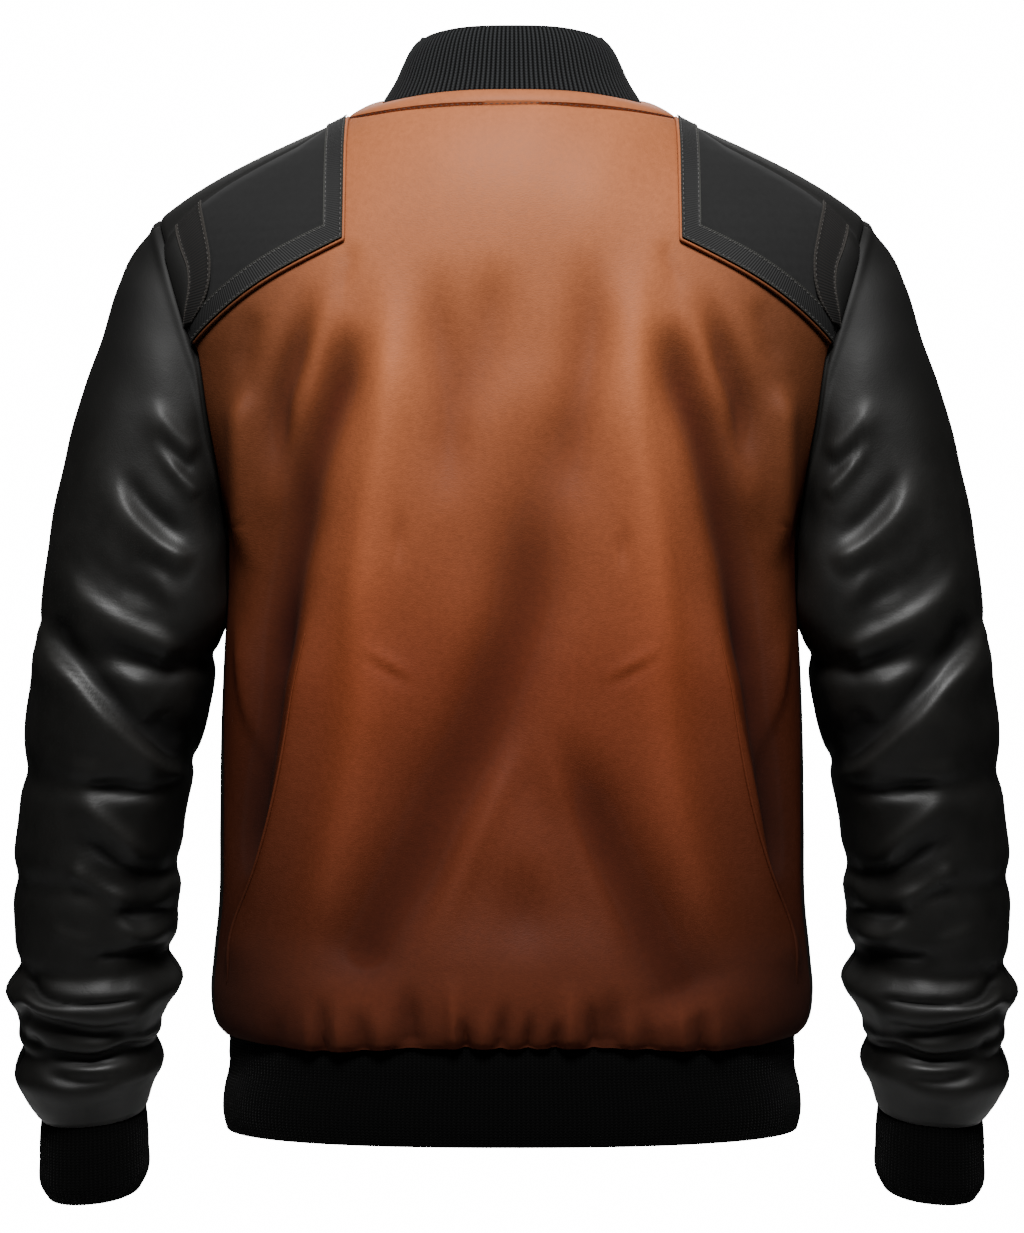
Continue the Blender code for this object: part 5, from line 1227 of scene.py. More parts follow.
def doubled_profile(outer_rows, inner_rows, wall, from_share, to_share):
    """A doubled knit's profile, up its outer face, over a round fold and down its inner face: for each row
    its share of the height, how far in it lies and how far it rises past the edge."""
    fold = np.linspace(0, np.pi, 6)[1:-1]
    outer = np.linspace(from_share, to_share, outer_rows)
    inner = np.linspace(to_share, from_share, inner_rows)
    share = np.concatenate([outer, np.full_like(fold, to_share), inner])
    inward = np.concatenate([outer * 0, wall / 2 * (1 - np.cos(fold)), inner * 0 + wall])
    rise = np.concatenate([outer * 0, wall / 2 * np.sin(fold), inner * 0])
    return share, inward, rise


RIB_SAMPLES = 5
LOOP_HEIGHT = 0.0019


def even_along(curve, start, end, pitch):
    """Parameters along a curve, RIB_SAMPLES for each rib of about `pitch`, evenly spaced by length, and each
    one's place in ribs."""
    fine = np.linspace(start, end, 4001)
    run = run_along(curve(fine))
    count = int(round(run[-1] / pitch))
    at = np.linspace(0, count, count * RIB_SAMPLES + 1)
    return np.interp(at / count * run[-1], run, fine), at


def rib_relief(at, depth, inward, wall):
    """Rounded ribs with narrow furrows: depth (|cos(pi n)|^0.7 - 0.5) over the place n in ribs, out of the
    outer face of a doubled profile and of its inner face."""
    height = depth * (np.abs(np.cos(np.pi * at)) ** 0.7 - 0.5)
    return height[None] * np.where(inward > wall / 2, -1, 1)[:, None]


def knit_uv(at, share, rise, height):
    """UV of a knit: the place in ribs along it, and 2 pi for each small loop up its height."""
    loops = (share * height + rise) / LOOP_HEIGHT * 2 * np.pi
    return np.stack(np.broadcast_arrays(at[None], loops[:, None]), axis=-1)


HEM_PULL = 0.0036  # how far the rib draws in at the sides, a third of the way down
HEM_TUCK = 0.0028  # how far in the rib's top lies, to go up behind the leather


def hem_ring(angle, share, inset):
    """Level rings of the rib hem, as points (rings, angles, 3)."""
    level = np.full_like(angle, -HEM_SEAM)
    x, back_y = section_point(level, angle, BACK)
    _, front_y = section_point(level, -angle, FRONT)
    y = np.where(np.sin(angle) >= 0, back_y, front_y)
    height = HEM_SEAM - 2 * SEAM_GAP - HEM_BOTTOM
    waist = BODY_LEVELS[-1]
    pulled = inset + HEM_PULL * np.exp(-(((share - 0.30) / 0.26) ** 2))
    x = np.sign(np.cos(angle)) * x * (1 - pulled / waist.half_width)
    y = y * (1 - inset / waist.front)
    return np.stack([x, y, np.broadcast_to(HEM_BOTTOM + height * (1 - share), x.shape)], axis=-1)


CUFF_AXIS = np.array([-0.012, -0.010, -1.0])  # the way the left cuff points


def cuff_ring(angle, share, inset):
    """Rings of the left rib cuff, as points (rings, angles, 3): the sleeve's end, carried down its axis."""
    end = sleeve_point(angle, np.full_like(angle, SLEEVE_LENGTH)).T
    middle = end.mean(axis=0)
    radial = end - middle
    half_width = np.linalg.norm(radial, axis=1).max()
    down = unit(CUFF_AXIS) * (CUFF_HEIGHT * share + SEAM_GAP)[..., None]
    return middle + radial * (1 - inset / half_width)[..., None] + down


def zip_line():
    """The middle of the zip's outer face, from the neckline down the fronts' inner face and the hem's."""
    down = down_at_top(np.array([0.0]), FRONT)[0] + 0.02
    down = down + (0.985 - down) * np.linspace(0, 1, 120)
    face, outward, _ = body_point(np.zeros_like(down), down, FRONT)
    line = (face - outward * (0.0015 + LAY_GAP)).T
    inset = np.maximum.accumulate(column(HEM_RINGS, "inset"))
    inset[-2] = inset[-1]
    share = column(HEM_RINGS, "share")
    hem = np.zeros((len(share), 3))
    hem[:, 1] = 0.0024 + LAY_GAP + inset - BODY_LEVELS[-1].front
    hem[:, 2] = HEM_SEAM + (HEM_BOTTOM - HEM_SEAM) * share
    hem[-1, 2] += 0.0013 + SEAM_GAP
    return np.concatenate([line, hem])


def strip_uv(points, share):
    """UV of a strip: millimetres along it, and the share of its width across it."""
    run = lengths(points, 0).mean(axis=1) / MM
    return np.stack(np.broadcast_arrays(run[:, None], share[None]), axis=-1)


def back_strip(inner, outer, rows, columns, lift):
    """A strip of tape on the back's form between two lines of places (x, z), as points, the directions out
    and UV, in millimetres along it and from 0 to 1 across it."""
    inner, outer = line_through(inner, rows), line_through(outer, rows)
    share = np.linspace(0, 1, columns + 1)[None, :, None]
    flat = inner[:, None] * (1 - share) + outer[:, None] * share
    across, down = on_back(flat[..., 0], flat[..., 1])
    lift = lift - PATCH_LIFT + sewn_lift(PATCH_LIFT, across, down)
    point, normal, _ = body_point(across, down, BACK, lift, BACK_CREASES)
    return last_axis(point), last_axis(normal), strip_uv(last_axis(point), share[0, :, 0])


def seam_height(x):
    """The height of the shoulder seam at a distance x from the centre line."""
    across = across_at_x(np.array([x]))
    for _ in range(12):
        down = down_at_top(across, BACK)
        across = np.clip(across + (x - form_point(across, down, BACK)[0]) / HALF_SPAN, NECK_ACROSS, 1.0)
    return float(form_point(across, down_at_top(across, BACK), BACK)[2][0])


def tape_bead(points, normal, uv):
    """Lifts a strip along both its selvedges: BEAD exp(-((0.5 - |v - 0.5|) / 0.07)^2)."""
    edge = 0.5 - np.abs(uv[..., 1] - 0.5)
    return points + normal * (BEAD * np.exp(-((edge / 0.07) ** 2)))[..., None]


BEAD = 0.0004
PATCH_X = 0.1052  # the patch's upright edge
RIM_LIFT = 0.0017
RIM_TALL, RIM_WIDE = 0.0014, 0.0009
ROLL_SIDES = 8
INSERT_LIFT = 0.0013  # over the patch
INSERT_SWELL = 0.0012
TAPE_WIDTH = 0.012
TAPE_FALL = 0.0012  # how far below the shoulder seam the tapes start
MITRE = 1.12  # how much longer the tape's width is, measured upright on the slant


def patch_points():
    """The left shoulder patch: from its upright edge to the armhole, and from the shoulder seam to its
    slanting lower edge."""
    across = NECK_ACROSS + (1 - NECK_ACROSS) * spread(46, 0.6)
    share = spread(48, 0.6)[:, None]
    top = down_at_top(across, BACK)
    corner = np.full_like(across, -0.3)
    for _ in range(8):
        corner = down_at_height(across, patch_lower_edge(form_point(across, corner, BACK)[0]), BACK)
    down = top + (corner - top) * share
    lift = sewn_lift(PATCH_LIFT, across, down)
    point, normal, _ = body_point(across, down, BACK, lift, BACK_CREASES)
    return sew_panel(last_axis(point), last_axis(normal), (0.0004, 0.0003, 0.0003, 0.0), (0.0005, 0, 0, 0.0022))


def edge_tape_lines():
    """The two edges of the tape that borders the patch, as places (x, z): down the upright edge, round a
    mitred corner and along the slant to the armhole."""
    lines = []
    for step in (0.0, TAPE_WIDTH):
        x = PATCH_X + step
        fall = seam_height(x) - TAPE_FALL
        corner = patch_lower_edge(x) + step * MITRE
        upright = np.stack([np.full(26, x), np.linspace(fall, corner, 26)], axis=1)
        run = np.linspace(x, 0.2010, 40)[1:]
        slant = np.stack([run, patch_lower_edge(run) + step * MITRE * (1 + 1.2 * (run - 0.105))], axis=1)
        lines.append(np.concatenate([upright, slant]))
    return lines


# the curved tape's two edges, in millimetres, each from the shoulder seam
ARMHOLE_TAPE_INNER = ((197, None), (191.5, -82), (188, -102), (188.5, -114), (192, -126), (200, -138))
ARMHOLE_TAPE_OUTER = ((213, None), (208, -92), (203, -105), (202, -117), (203.5, -128), (205, -139))


def armhole_tape_lines():
    """The two edges of the curved tape beside the armhole, from the shoulder seam to where it runs out."""
    return [
        line_through([(x * MM, seam_height(x * MM) - TAPE_FALL if z is None else z * MM) for x, z in path], 60)
        for path in (ARMHOLE_TAPE_INNER, ARMHOLE_TAPE_OUTER)
    ]


def roll_on_back(across, down, lift, tall, wide):
    """A narrow roll along places on the back: an ellipse with half-axes `tall` out from the leather and
    `wide` along it."""
    point, normal, _ = body_point(across, down, BACK, lift, BACK_CREASES)
    point, normal = point.T, normal.T
    side = np.cross(unit(np.gradient(point, axis=0)), normal)
    turn = np.arange(ROLL_SIDES)[:, None, None] * 2 * np.pi / ROLL_SIDES
    return point[None] + tall * np.cos(turn) * normal[None] + wide * np.sin(turn) * side[None]


def rim_points():
    """The narrow roll of tan leather that stands up beside the patch's edge: an ellipse 1.8 mm by 2.8 mm
    carried down the upright edge, round the corner and along the slant."""
    line = edge_tape_lines()[0]
    run = run_along(line)
    line = places_at(np.linspace(0, run[-1], 150), run, line)
    across, down = on_back(line[:, 0] - 0.0008, line[:, 1] - 0.0012)
    return roll_on_back(across, down, sewn_lift(RIM_LIFT, across, down), RIM_TALL, RIM_WIDE)


# the edge along which each side of the back is folded over, in millimetres on the left half
FOLD_EDGE = ((129, -335), (135, -371), (146, -433), (160, -484), (172, -517), (181, -558))
FOLD_LIFT, FOLD_TALL, FOLD_WIDE = 0.0003, 0.0012, 0.0010


def fold_edge_points(half):
    """The crisp crest of that fold: a roll that thins out to its upper end and ends short at the hem."""
    line = line_through(FOLD_EDGE, 110) * MM
    share = np.linspace(0, 1, len(line))
    size = 0.15 + 0.85 * ease(share / 0.45) * ease((1 - share) / 0.08)
    across, down = on_back(line[:, 0], line[:, 1])
    tall, wide = (limit * size[:, None] for limit in (FOLD_TALL, FOLD_WIDE))
    return roll_on_back(across * half, down, FOLD_LIFT, tall, wide)


def insert_points():
    """The smooth leather insert: between the curved tape's outer edge and the armhole seam."""
    outer = armhole_tape_lines()[1][:52]
    across, down = on_back(outer[:, 0], outer[:, 1])
    angle = SEAM_ANGLE + (78 - SEAM_ANGLE) * np.linspace(0, 1, len(outer))
    share = spread(12, 0.5)[None]
    across = across[:, None] * (1 - share) + share
    down = down[:, None] * (1 - share) + armhole_down(angle)[:, None] * share
    lift = sewn_lift(PATCH_LIFT, across, down) + INSERT_LIFT
    point, normal, _ = body_point(across, down, BACK, lift)
    swell = INSERT_SWELL * np.sin(np.pi * share) ** 0.7
    return draw_in(last_axis(point) + last_axis(normal) * swell[..., None], (0.0008, 0, 0, 0.0018))


UNDER_LEATHER = 0.0024  # how deep the armhole seam's allowances lie under the outer face


def armhole_allowance_points():
    """The leather folded back inside the left armhole seam: a strip from under the body's panels, past the
    seam, to under the sleeve."""
    angle = np.linspace(1, 359, 150)
    behind, ahead = (body_point(0.98, armhole_down(angle), side, -UNDER_LEATHER)[0] for side in (BACK, FRONT))
    ring, outward, _ = armhole_ring(angle)
    top, low = sleeve_form(angle, 0.004), sleeve_form(angle, 0.009)
    facing = unit(np.cross(np.gradient(top, axis=0), low - top))
    facing = facing * np.sign(((top - top.mean(axis=0)) * facing).sum())
    first = np.where(angle > 180, ahead, behind).T
    seam = ring.T - unit(outward.T + facing) * 0.0034
    last = sleeve_form(angle, 0.008) - facing * UNDER_LEATHER
    return np.stack([first, (first + seam) / 2, seam, (seam + last) / 2, last])


# ---- operators
SEEN_FROM = (0, 0, -0.3)  # the jacket's middle, away from which the body's panels face
FOLD_PAINTED_HIGHLIGHT = 0.009  # the relief that the fold edges carry, which paints them paler: a painted highlight
SHOULDERS_FROM = (0, 0, -0.2)  # the same for what lies on the shoulders
CLOTH_WALL = 0.0009
THIN_WALL = 0.0008  # tapes, and leather pared down for a seam


class SewBack(bpy.types.Operator):
    """Makes the tan leather back panel with its long drape folds and the gathers above the hem"""

    bl_idname = "jacket.sew_back"
    bl_label = "Back panel"

    def execute(self, context):
        wall = context.scene.jacket_sizes.leather_wall
        points, relief = back_panel_points()
        mesh = shell("back_leather", points, wall, SEEN_FROM, relief=relief)
        add_piece(mesh, finish(waxed_tan_leather), "tan_leather", ["back_panel"], flat=(0.56, 0.66), area=0.279)
        for name, half in (("left", LEFT), ("right", RIGHT)):
            points = fold_edge_points(half)
            # each fold edge carries a full relief, so its tan is painted paler: a painted highlight along the crest
            mesh = ring_shell(f"fold_edge_{name}", points, True, relief=np.full(points.shape[:2], FOLD_PAINTED_HIGHLIGHT))
            add_piece(mesh, finish(waxed_tan_leather), "tan_leather")
        return {"FINISHED"}


class SewFronts(bpy.types.Operator):
    """Makes the two plain black leather fronts"""

    bl_idname = "jacket.sew_fronts"
    bl_label = "Fronts"

    def execute(self, context):
        wall = context.scene.jacket_sizes.leather_wall
        points, relief = front_panel_points()
        for name, turn in SIDES:
            mesh = shell(f"front_leather_{name}", points * turn, wall, SEEN_FROM, relief=relief)
            add_piece(
                mesh, finish(smooth_black_leather), "black_leather", [f"front_{name}"], flat=(0.27, 0.68), area=0.151
            )
        return {"FINISHED"}


class SewShoulders(bpy.types.Operator):
    """Makes the shoulder patches, the tapes that border them, the curved armhole tapes and the inserts"""

    bl_idname = "jacket.sew_shoulders"
    bl_label = "Shoulder patches and tapes"

    def execute(self, context):
        edging, edging_out, edging_uv = back_strip(*edge_tape_lines(), 110, 10, TAPE_LIFT)
        edging = tape_bead(edging, edging_out, edging_uv)
        curved, curved_out, curved_uv = back_strip(*armhole_tape_lines(), 90, 12, CURVED_TAPE_LIFT)
        curved = tape_bead(curved, curved_out, curved_uv)
        patch, insert, rim = patch_points(), insert_points(), rim_points()
        edge_finish = finish(twill_tape, "black twill tape", "#20201c", "#0e0e0e", 0.6)
        curve_finish = finish(twill_tape, "brown-black grosgrain tape", "#2c2926", "#130f0c", 0.5)
        for name, turn in SIDES:
            laid = {"held": "laid", "rests_on": [f"patch_cloth_{name}"]}
            add_piece(
                shell(f"patch_cloth_{name}", patch * turn, CLOTH_WALL, SHOULDERS_FROM), finish(matte_patch_cloth),
                "patch_cloth", [f"shoulder_patch_{name}"], flat=(0.125, 0.155), area=0.0125, held="laid",
                rests_on=["back_leather"],
            )
            add_piece(
                shell(f"edge_tape_{name}", edging * turn, THIN_WALL, SHOULDERS_FROM, uv=edging_uv), edge_finish,
                "black_tape", [f"patch_edge_tape_{name}"], flat=(0.015, 0.216), **laid,
            )
            add_piece(
                shell(f"curved_tape_{name}", curved * turn, THIN_WALL, SHOULDERS_FROM, uv=curved_uv), curve_finish,
                "black_tape", [f"armhole_tape_{name}"], flat=(0.016, 0.12), area=0.0016, **laid,
            )
            add_piece(ring_shell(f"patch_rim_{name}", rim * turn, True), finish(waxed_tan_leather), "tan_leather")
            add_piece(
                shell(f"insert_leather_{name}", insert * turn, THIN_WALL, SHOULDERS_FROM),
                finish(smooth_black_leather), "black_leather", [f"shoulder_insert_{name}"], flat=(0.02, 0.09),
                area=0.0009, **laid,
            )
        return {"FINISHED"}


class SewSleeves(bpy.types.Operator):
    """Makes the two-piece black leather sleeves with their creases and the rolls above the cuffs"""

    bl_idname = "jacket.sew_sleeves"
    bl_label = "Sleeves"

    def execute(self, context):
        wall = context.scene.jacket_sizes.leather_wall
        halves = {
            "back": (sleeve_half_points(SLEEVE_SEAM_ANGLE, 180, 104, 240), (0.20, 0.56), 0.089),
            "front": (sleeve_half_points(180, 360 + SLEEVE_SEAM_ANGLE, 74, 190), (0.22, 0.56), 0.111),
        }
        leather = finish(smooth_black_leather)
        for half, ((points, relief), flat, area) in halves.items():
            for name, turn in SIDES:
                mesh = shell(f"sleeve_{half}_leather_{name}", points * turn, wall, relief=relief)
                add_piece(mesh, leather, "black_leather", [f"sleeve_{half}_{name}"], flat=flat, area=area)
        allowance = armhole_allowance_points()
        for name, turn in SIDES:
            mesh = shell(f"armhole_allowance_{name}", allowance * turn, THIN_WALL)
            add_piece(mesh, leather, "black_leather", flat=(0.585, 0.014))
        return {"FINISHED"}


class SewNeckBand(bpy.types.Operator):
    """Makes the tan leather band round the neck"""

    bl_idname = "jacket.sew_neck_band"
    bl_label = "Neck band"

    def execute(self, context):
        wall = context.scene.jacket_sizes.leather_wall
        turn = np.linspace(-NECK_START, np.pi + NECK_START, 220)
        share = spread(14, 0.4)
        edge, outwards, _ = neck_ring(turn)
        tucked = [edge - outwards * inward - UP * below for inward, below in ((0.0046, 0.0070), (0.0030, 0.0030))]
        points = np.concatenate([tucked, band_points(turn, share, BAND_ROLL * np.sin(np.pi * share) ** 0.7)])
        mesh = shell("neck_band_leather", points, wall, (0, 0.02, -0.1), relief=points[..., 0] * 0)
        add_piece(
            mesh, finish(waxed_tan_leather), "tan_leather", ["neck_band"], flat=(0.60, 0.0287), held="stretched"
        )
        return {"FINISHED"}


class KnitCollar(bpy.types.Operator):
    """Makes the standing rib collar, rib by rib"""

    bl_idname = "jacket.knit_collar"
    bl_label = "Rib collar"

    def execute(self, context):
        sizes, colours = context.scene.jacket_sizes, context.scene.jacket_colours
        plain = np.zeros(1)

        def middle(turn):
            return collar_points(turn, np.array([0.5]), plain, plain, np.zeros((1, len(turn))))[0]

        turn, at = even_along(middle, -NECK_START, np.pi + NECK_START, sizes.rib_pitch)
        share, inward, rise = doubled_profile(18, 6, sizes.rib_wall, -0.05, 0.965)
        tuck = 0.0014 * ease(-share / 0.05)
        ribs = rib_relief(at, sizes.rib_depth, inward, sizes.rib_wall)
        points = collar_points(turn, share, inward + tuck, rise, ribs)
        mesh = ring_shell("collar_knit", points, True, knit_uv(at, share, rise, COLLAR_HEIGHT))
        knit = finish(rib_knit, "collar", colours.rib_collar)
        add_piece(mesh, knit, "black_rib_knit", ["collar_rib"], flat=(0.53, 0.045), held="stretched")
        return {"FINISHED"}


class KnitHem(bpy.types.Operator):
    """Makes the rib hem, rib by rib"""

    bl_idname = "jacket.knit_hem"
    bl_label = "Rib hem"

    def execute(self, context):
        sizes, colours = context.scene.jacket_sizes, context.scene.jacket_colours
        waist = BODY_LEVELS[-1].half_width
        first = np.arccos((ZIP_HALF_GAP / waist) ** (SQUARENESS / 2))

        def edge(angle):
            return hem_ring(angle[None], np.zeros((1, 1)), np.zeros((1, 1)))[0]

        angle, at = even_along(edge, -first, np.pi + first, sizes.rib_pitch)
        share, inward, rise = doubled_profile(16, 4, sizes.rib_wall, -0.07, 0.98)
        place = edge(angle)
        clear = np.where(place[:, 1] < 0, ease((np.abs(place[:, 0]) - 0.025) / 0.03), 1.0)
        tuck = HEM_TUCK * (1 - ease((share - 0.06) / 0.16))[:, None] * clear
        inset = through(HEM_RINGS, "share", "inset", np.clip(share, 0, 1))[:, None] + inward[:, None] + tuck
        ribs = rib_relief(at, sizes.rib_depth * 0.8, inward, sizes.rib_wall)
        height = HEM_SEAM - HEM_BOTTOM
        fall = share[:, None] * np.where(share[:, None] < 0, clear, 1.0)
        points = hem_ring(angle[None], fall + rise[:, None] / height, inset - ribs)
        mesh = ring_shell("hem_knit", points, True, knit_uv(at, share, rise, height))
        # the hem's knit painted darker than the collar's: painted shade
        knit = finish(rib_knit, "hem", colours.rib_hem)
        add_piece(mesh, knit, "black_rib_knit", ["hem_rib"], flat=(1.03, 0.067), held="stretched")
        return {"FINISHED"}


class KnitCuffs(bpy.types.Operator):
    """Makes the rib cuffs, rib by rib"""

    bl_idname = "jacket.knit_cuffs"
    bl_label = "Rib cuffs"

    def execute(self, context):
        sizes, colours = context.scene.jacket_sizes, context.scene.jacket_colours

        def edge(angle):
            return cuff_ring(angle, np.zeros((1, 1)), np.zeros((1, 1)))[0]

        angle, at = even_along(edge, 0.0, 360.0, sizes.rib_pitch)
        share, inward, rise = doubled_profile(18, 6, sizes.rib_wall, 0.0, 0.97)
        inset = through(CUFF_RINGS, "share", "inset", share)[:, None] + inward[:, None]
        ribs = rib_relief(at, sizes.rib_depth, inward, sizes.rib_wall)
        points = cuff_ring(angle, share[:, None] + rise[:, None] / CUFF_HEIGHT, inset - ribs)[:, :-1]
        # the cuffs' knit painted darker than the collar's: painted shade
        knit = finish(rib_knit, "hem", colours.rib_hem)
        for name, turn in SIDES:
            mesh = ring_shell(f"cuff_knit_{name}", points * turn, False, knit_uv(at[:-1], share, rise, CUFF_HEIGHT))
            add_piece(mesh, knit, "black_rib_knit", [f"cuff_{name}"], flat=(0.25, 0.053), held="stretched")
        return {"FINISHED"}


ZIP_TAPE_EDGE = 0.0135
ZIP_TAPE_WALL = 0.0010
TEETH_LEFT_OUT = 3  # at the zip's ends, in tooth pitches


class FitZip(bpy.types.Operator):
    """Makes the zip's tapes and teeth, and finishes its slider, pull and box in antique metal"""

    bl_idname = "jacket.fit_zip"
    bl_label = "Front zip"

    def execute(self, context):
        sizes = context.scene.jacket_sizes
        line = line_through(zip_line(), 260)
        slider_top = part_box("zip_slider")[1][2]
        parted = ease((line[:, 2] - slider_top + 0.004) / 0.003)
        inner = 0.0005 + 0.0013 * parted
        share = np.linspace(0, 1, 9)
        points = np.repeat(line[:, None], len(share), axis=1)
        points[..., 0] = inner[:, None] + (ZIP_TAPE_EDGE - inner[:, None]) * share
        tape_finish = finish(twill_tape, "black zip tape", "#29292a", "#222223", 1.0)
        metal = finish(antique_zip_metal)
        run = run_along(line)
        along = unit(np.gradient(line, axis=0))
        out = np.cross(along, np.array([1.0, 0.0, 0.0]))
        out *= np.where(out[:, 1:2] > 0, -1.0, 1.0)
        count = int(run[-1] / sizes.tooth_pitch) - TEETH_LEFT_OUT
        template, index = capsule(0.0013, 0.0011)
        template = template * np.array([1.5, 1.0, 0.98])
        template[..., 2] -= template[..., 2].mean()
        # the two sides' teeth stand half a pitch apart, so that they mesh
        for (name, turn), shift in zip(SIDES, (0.25, 0.75)):
            mesh = shell(f"zip_cloth_{name}", points * turn, ZIP_TAPE_WALL, SEEN_FROM, uv=strip_uv(points, share))
            add_piece(
                mesh, tape_finish, "black_tape", [f"zip_tape_{name}"], flat=(0.013, 0.63),
                rests_on=[f"front_leather_{name}"],
            )
            at = (np.arange(count) + 1.5 + shift) * sizes.tooth_pitch
            place, heading, outward = (places_at(at, run, source) for source in (line - out * 0.0005, along, out))
            place[:, 0] = np.interp(at, run, inner + 0.0002) * turn[0]
            across = np.broadcast_to(np.array([1.0, 0.0, 0.0]), place.shape)
            teeth = repeated(f"zip_teeth_{name}", template, index, place, across, heading, outward)
            add_piece(teeth, metal, "zip_metal")
        for name in ("zip_slider", "zip_pull", "zip_box"):
            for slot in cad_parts[name].material_slots:
                slot.material = metal
        return {"FINISHED"}


STITCH_SHARE = 0.72  # how much of each stitch's pitch its thread shows


class StitchSeams(bpy.types.Operator):
    """Sews the visible stitching: on the patches' tapes, under the neck band and beside the zip"""

    bl_idname = "jacket.stitch_seams"
    bl_label = "Stitching"

    def execute(self, context):
        sizes = context.scene.jacket_sizes
        pitch = sizes.stitch_pitch
        template, index = capsule(pitch * STITCH_SHARE, sizes.thread / 2)
        edging, edging_out, _ = back_strip(*edge_tape_lines(), 220, 10, TAPE_LIFT + STITCH_LIFT)
        curved, curved_out, _ = back_strip(*armhole_tape_lines(), 120, 12, CURVED_TAPE_LIFT + STITCH_LIFT)
        front_down = np.linspace(-1.0, 0.985, 300)
        front_down = front_down[front_down > down_at_top(np.array([0.04]), FRONT)[0] + 0.03]
        beside_zip = np.full_like(front_down, across_at_x(0.0125))
        front, front_out, _ = body_point(beside_zip, front_down, FRONT, STITCH_LIFT, FRONT_CREASES)
        black = finish(waxed_thread, "black waxed thread", "#191817")
        grey = finish(waxed_thread, "charcoal waxed thread", "#4a4a4b")
        brown = finish(waxed_thread, "dark brown waxed thread", "#2a170d")
        # each seam's thread, slot, and lines with the directions out of them
        seams = {
            "patch": (grey, "black_tape", [(edging[:, column], edging_out[:, column]) for column in (9, 1)]),
            "armhole": (black, "black_tape", [(curved[:-12, column], curved_out[:-12, column]) for column in (1, 11)]),
            "zip": (black, "black_leather", [(front.T, front_out.T)]),
        }
        for name, turn in SIDES:
            for seam, (thread, slot, lines) in seams.items():
                sewn = [stitches_along(points * turn, out * turn, pitch) for points, out in lines]
                joined = [np.concatenate(parts) for parts in zip(*sewn)]
                add_piece(repeated(f"{seam}_stitches_{name}", template, index, *joined), thread, slot)
        turn = np.linspace(0.12, np.pi - 0.12, 400)
        edge, outwards, _ = neck_ring(turn)
        under = edge + outwards * 0.0016
        across = across_at_x(np.clip(np.abs(under[:, 0]), 0, 0.1049)) * np.sign(under[:, 0])
        down = down_at_y(np.abs(across), under[:, 1], BACK)
        neck, neck_out, _ = body_point(across, down, BACK, 0.0003, BACK_CREASES)
        order = np.argsort(neck[0])
        sewn = stitches_along(neck.T[order], neck_out.T[order], pitch)
        add_piece(repeated("neck_stitches", template, index, *sewn), brown, "tan_leather")
        return {"FINISHED"}


ROOM_GLOW = 0.018
WALL_GLOW = 16.0
# each softbox: its name, place, aim, size in metres, power in watts and the width of its beam in degrees
LIGHTS = (
    ("key softbox", (0.0, 1.6, 1.5), (0.0, 0.0, -0.04), 0.8, 10.5, 46.0),
    ("left softbox", (1.5, 1.2, 0.8), (0.25, 0.0, -0.20), 0.5, 0.9, 80.0),
    ("right softbox", (-1.5, 1.2, 0.8), (-0.25, 0.0, -0.20), 0.5, 0.9, 80.0),
    ("front softbox", (0.0, -2.0, 1.4), (0.0, 0.0, -0.25), 1.4, 12.0, 120.0),
)
FLOOR = -1.02
FLOOR_RADIUS = 1.25
CAMERA_PLACE = (0.0, 2.5, -0.3245)
CAMERA_LENS = 112.3
WHITE = (1.0, 1.0, 1.0, 1.0)


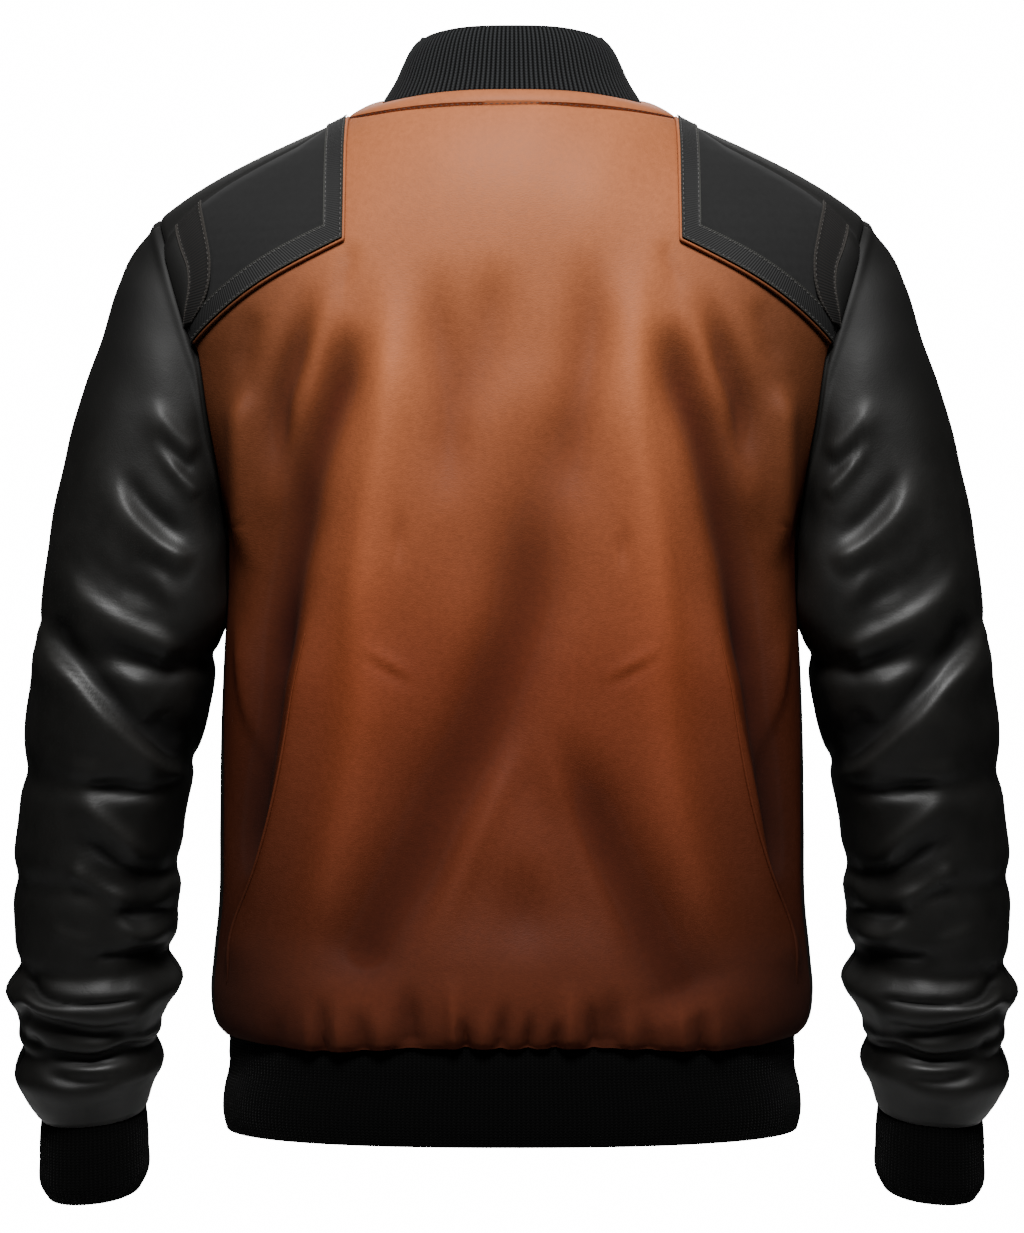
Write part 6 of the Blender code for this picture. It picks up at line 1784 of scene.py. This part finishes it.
class SetStage(bpy.types.Operator):
    """Sets the pale floor and backdrop, the soft studio light and the camera"""

    bl_idname = "jacket.set_stage"
    bl_label = "Stage"

    def execute(self, context):
        scene = context.scene
        # a round floor: rings of points about the jacket
        turn = np.linspace(0, 2 * np.pi, 97)[:-1]
        radius = FLOOR_RADIUS * np.linspace(0.004, 1, 12)[:, None]
        points = last_axis(np.stack(np.broadcast_arrays(radius * np.cos(turn), radius * np.sin(turn), FLOOR)))
        index = np.arange(points[..., 0].size).reshape(points.shape[:2])
        index = np.concatenate([index, index[:, :1]], axis=1)
        mesh = bpy.data.meshes.new("floor")
        faces = [*quads_of(index)[:, ::-1].tolist(), index[0, :-1].tolist()]
        mesh.from_pydata(points.reshape(-1, 3).tolist(), [], faces)
        paper, tree = new_material("pale floor paint", Roughness=0.9, Specular_IOR_Level=0.1)
        fibre = add_node(tree, "ShaderNodeTexNoise", {"Scale": 3.0, "Detail": 2.0})
        shades = {0: fibre.outputs["Fac"], 6: linear("#f1f1f0"), 7: linear("#f6f6f5")}
        tone = add_node(tree, "ShaderNodeMix", shades, data_type="RGBA")
        mesh.materials.append(joined(paper, Base_Color=tone.outputs[2]))
        floor = bpy.data.objects.new("floor", mesh)
        scene.collection.objects.link(floor)

        # the room is dim, so that folds keep their shade; only its walls, seen past the jacket, are white
        world = bpy.data.worlds.new("studio")
        world.use_nodes = True
        tree = world.node_tree
        room = tree.nodes["Background"]
        room.inputs["Color"].default_value = WHITE
        room.inputs["Strength"].default_value = ROOM_GLOW
        wall = add_node(tree, "ShaderNodeBackground", {"Color": WHITE, "Strength": WALL_GLOW})
        seen = add_node(tree, "ShaderNodeLightPath").outputs["Is Camera Ray"]
        both = add_node(tree, "ShaderNodeMixShader", {0: seen, 1: room.outputs[0], 2: wall.outputs[0]})
        tree.links.new(both.outputs[0], tree.nodes["World Output"].inputs["Surface"])
        scene.world = world
        for name, place, aim, size, power, width in LIGHTS:
            light = bpy.data.lights.new(name, "AREA")
            light.size, light.energy, light.spread = size, power, np.radians(width)
            lamp = bpy.data.objects.new(name, light)
            lamp.location = place
            lamp.rotation_euler = (Vector(aim) - Vector(place)).to_track_quat("-Z", "Y").to_euler()
            scene.collection.objects.link(lamp)

        camera = bpy.data.cameras.new("camera")
        camera.sensor_fit, camera.sensor_width, camera.lens = "AUTO", 36.0, CAMERA_LENS
        seat = bpy.data.objects.new("camera", camera)
        seat.location = CAMERA_PLACE
        seat.rotation_euler = (np.pi / 2, 0.0, np.pi)
        scene.collection.objects.link(seat)
        scene.camera = seat
        return {"FINISHED"}


class JacketPanel(bpy.types.Panel):
    """Lists the jacket's sizes, colours and pieces"""

    bl_idname = "VIEW3D_PT_jacket"
    bl_label = "Leather bomber jacket"
    bl_space_type = "VIEW_3D"
    bl_region_type = "UI"
    bl_category = "Jacket"

    def draw(self, context):
        for group in (context.scene.jacket_sizes, context.scene.jacket_colours):
            box = self.layout.box()
            for name in type(group).__annotations__:
                box.prop(group, name)
        for step in STEPS:
            self.layout.operator(step.bl_idname)


STEPS = (
    SewBack, SewFronts, SewShoulders, SewSleeves, SewNeckBand, KnitCollar, KnitHem, KnitCuffs, FitZip, StitchSeams,
    SetStage,
)
CLASSES = (JacketSizes, JacketColours, *STEPS, JacketPanel)


def register():
    for each in CLASSES:
        bpy.utils.register_class(each)
    bpy.types.Scene.jacket_sizes = bpy.props.PointerProperty(type=JacketSizes)
    bpy.types.Scene.jacket_colours = bpy.props.PointerProperty(type=JacketColours)


def unregister():
    del bpy.types.Scene.jacket_colours
    del bpy.types.Scene.jacket_sizes
    for each in reversed(CLASSES):
        bpy.utils.unregister_class(each)


def main():
    register()
    for step in STEPS:
        name = step.bl_idname.split(".")[1]
        getattr(bpy.ops.jacket, name)()


if __name__ == "__main__":
    main()
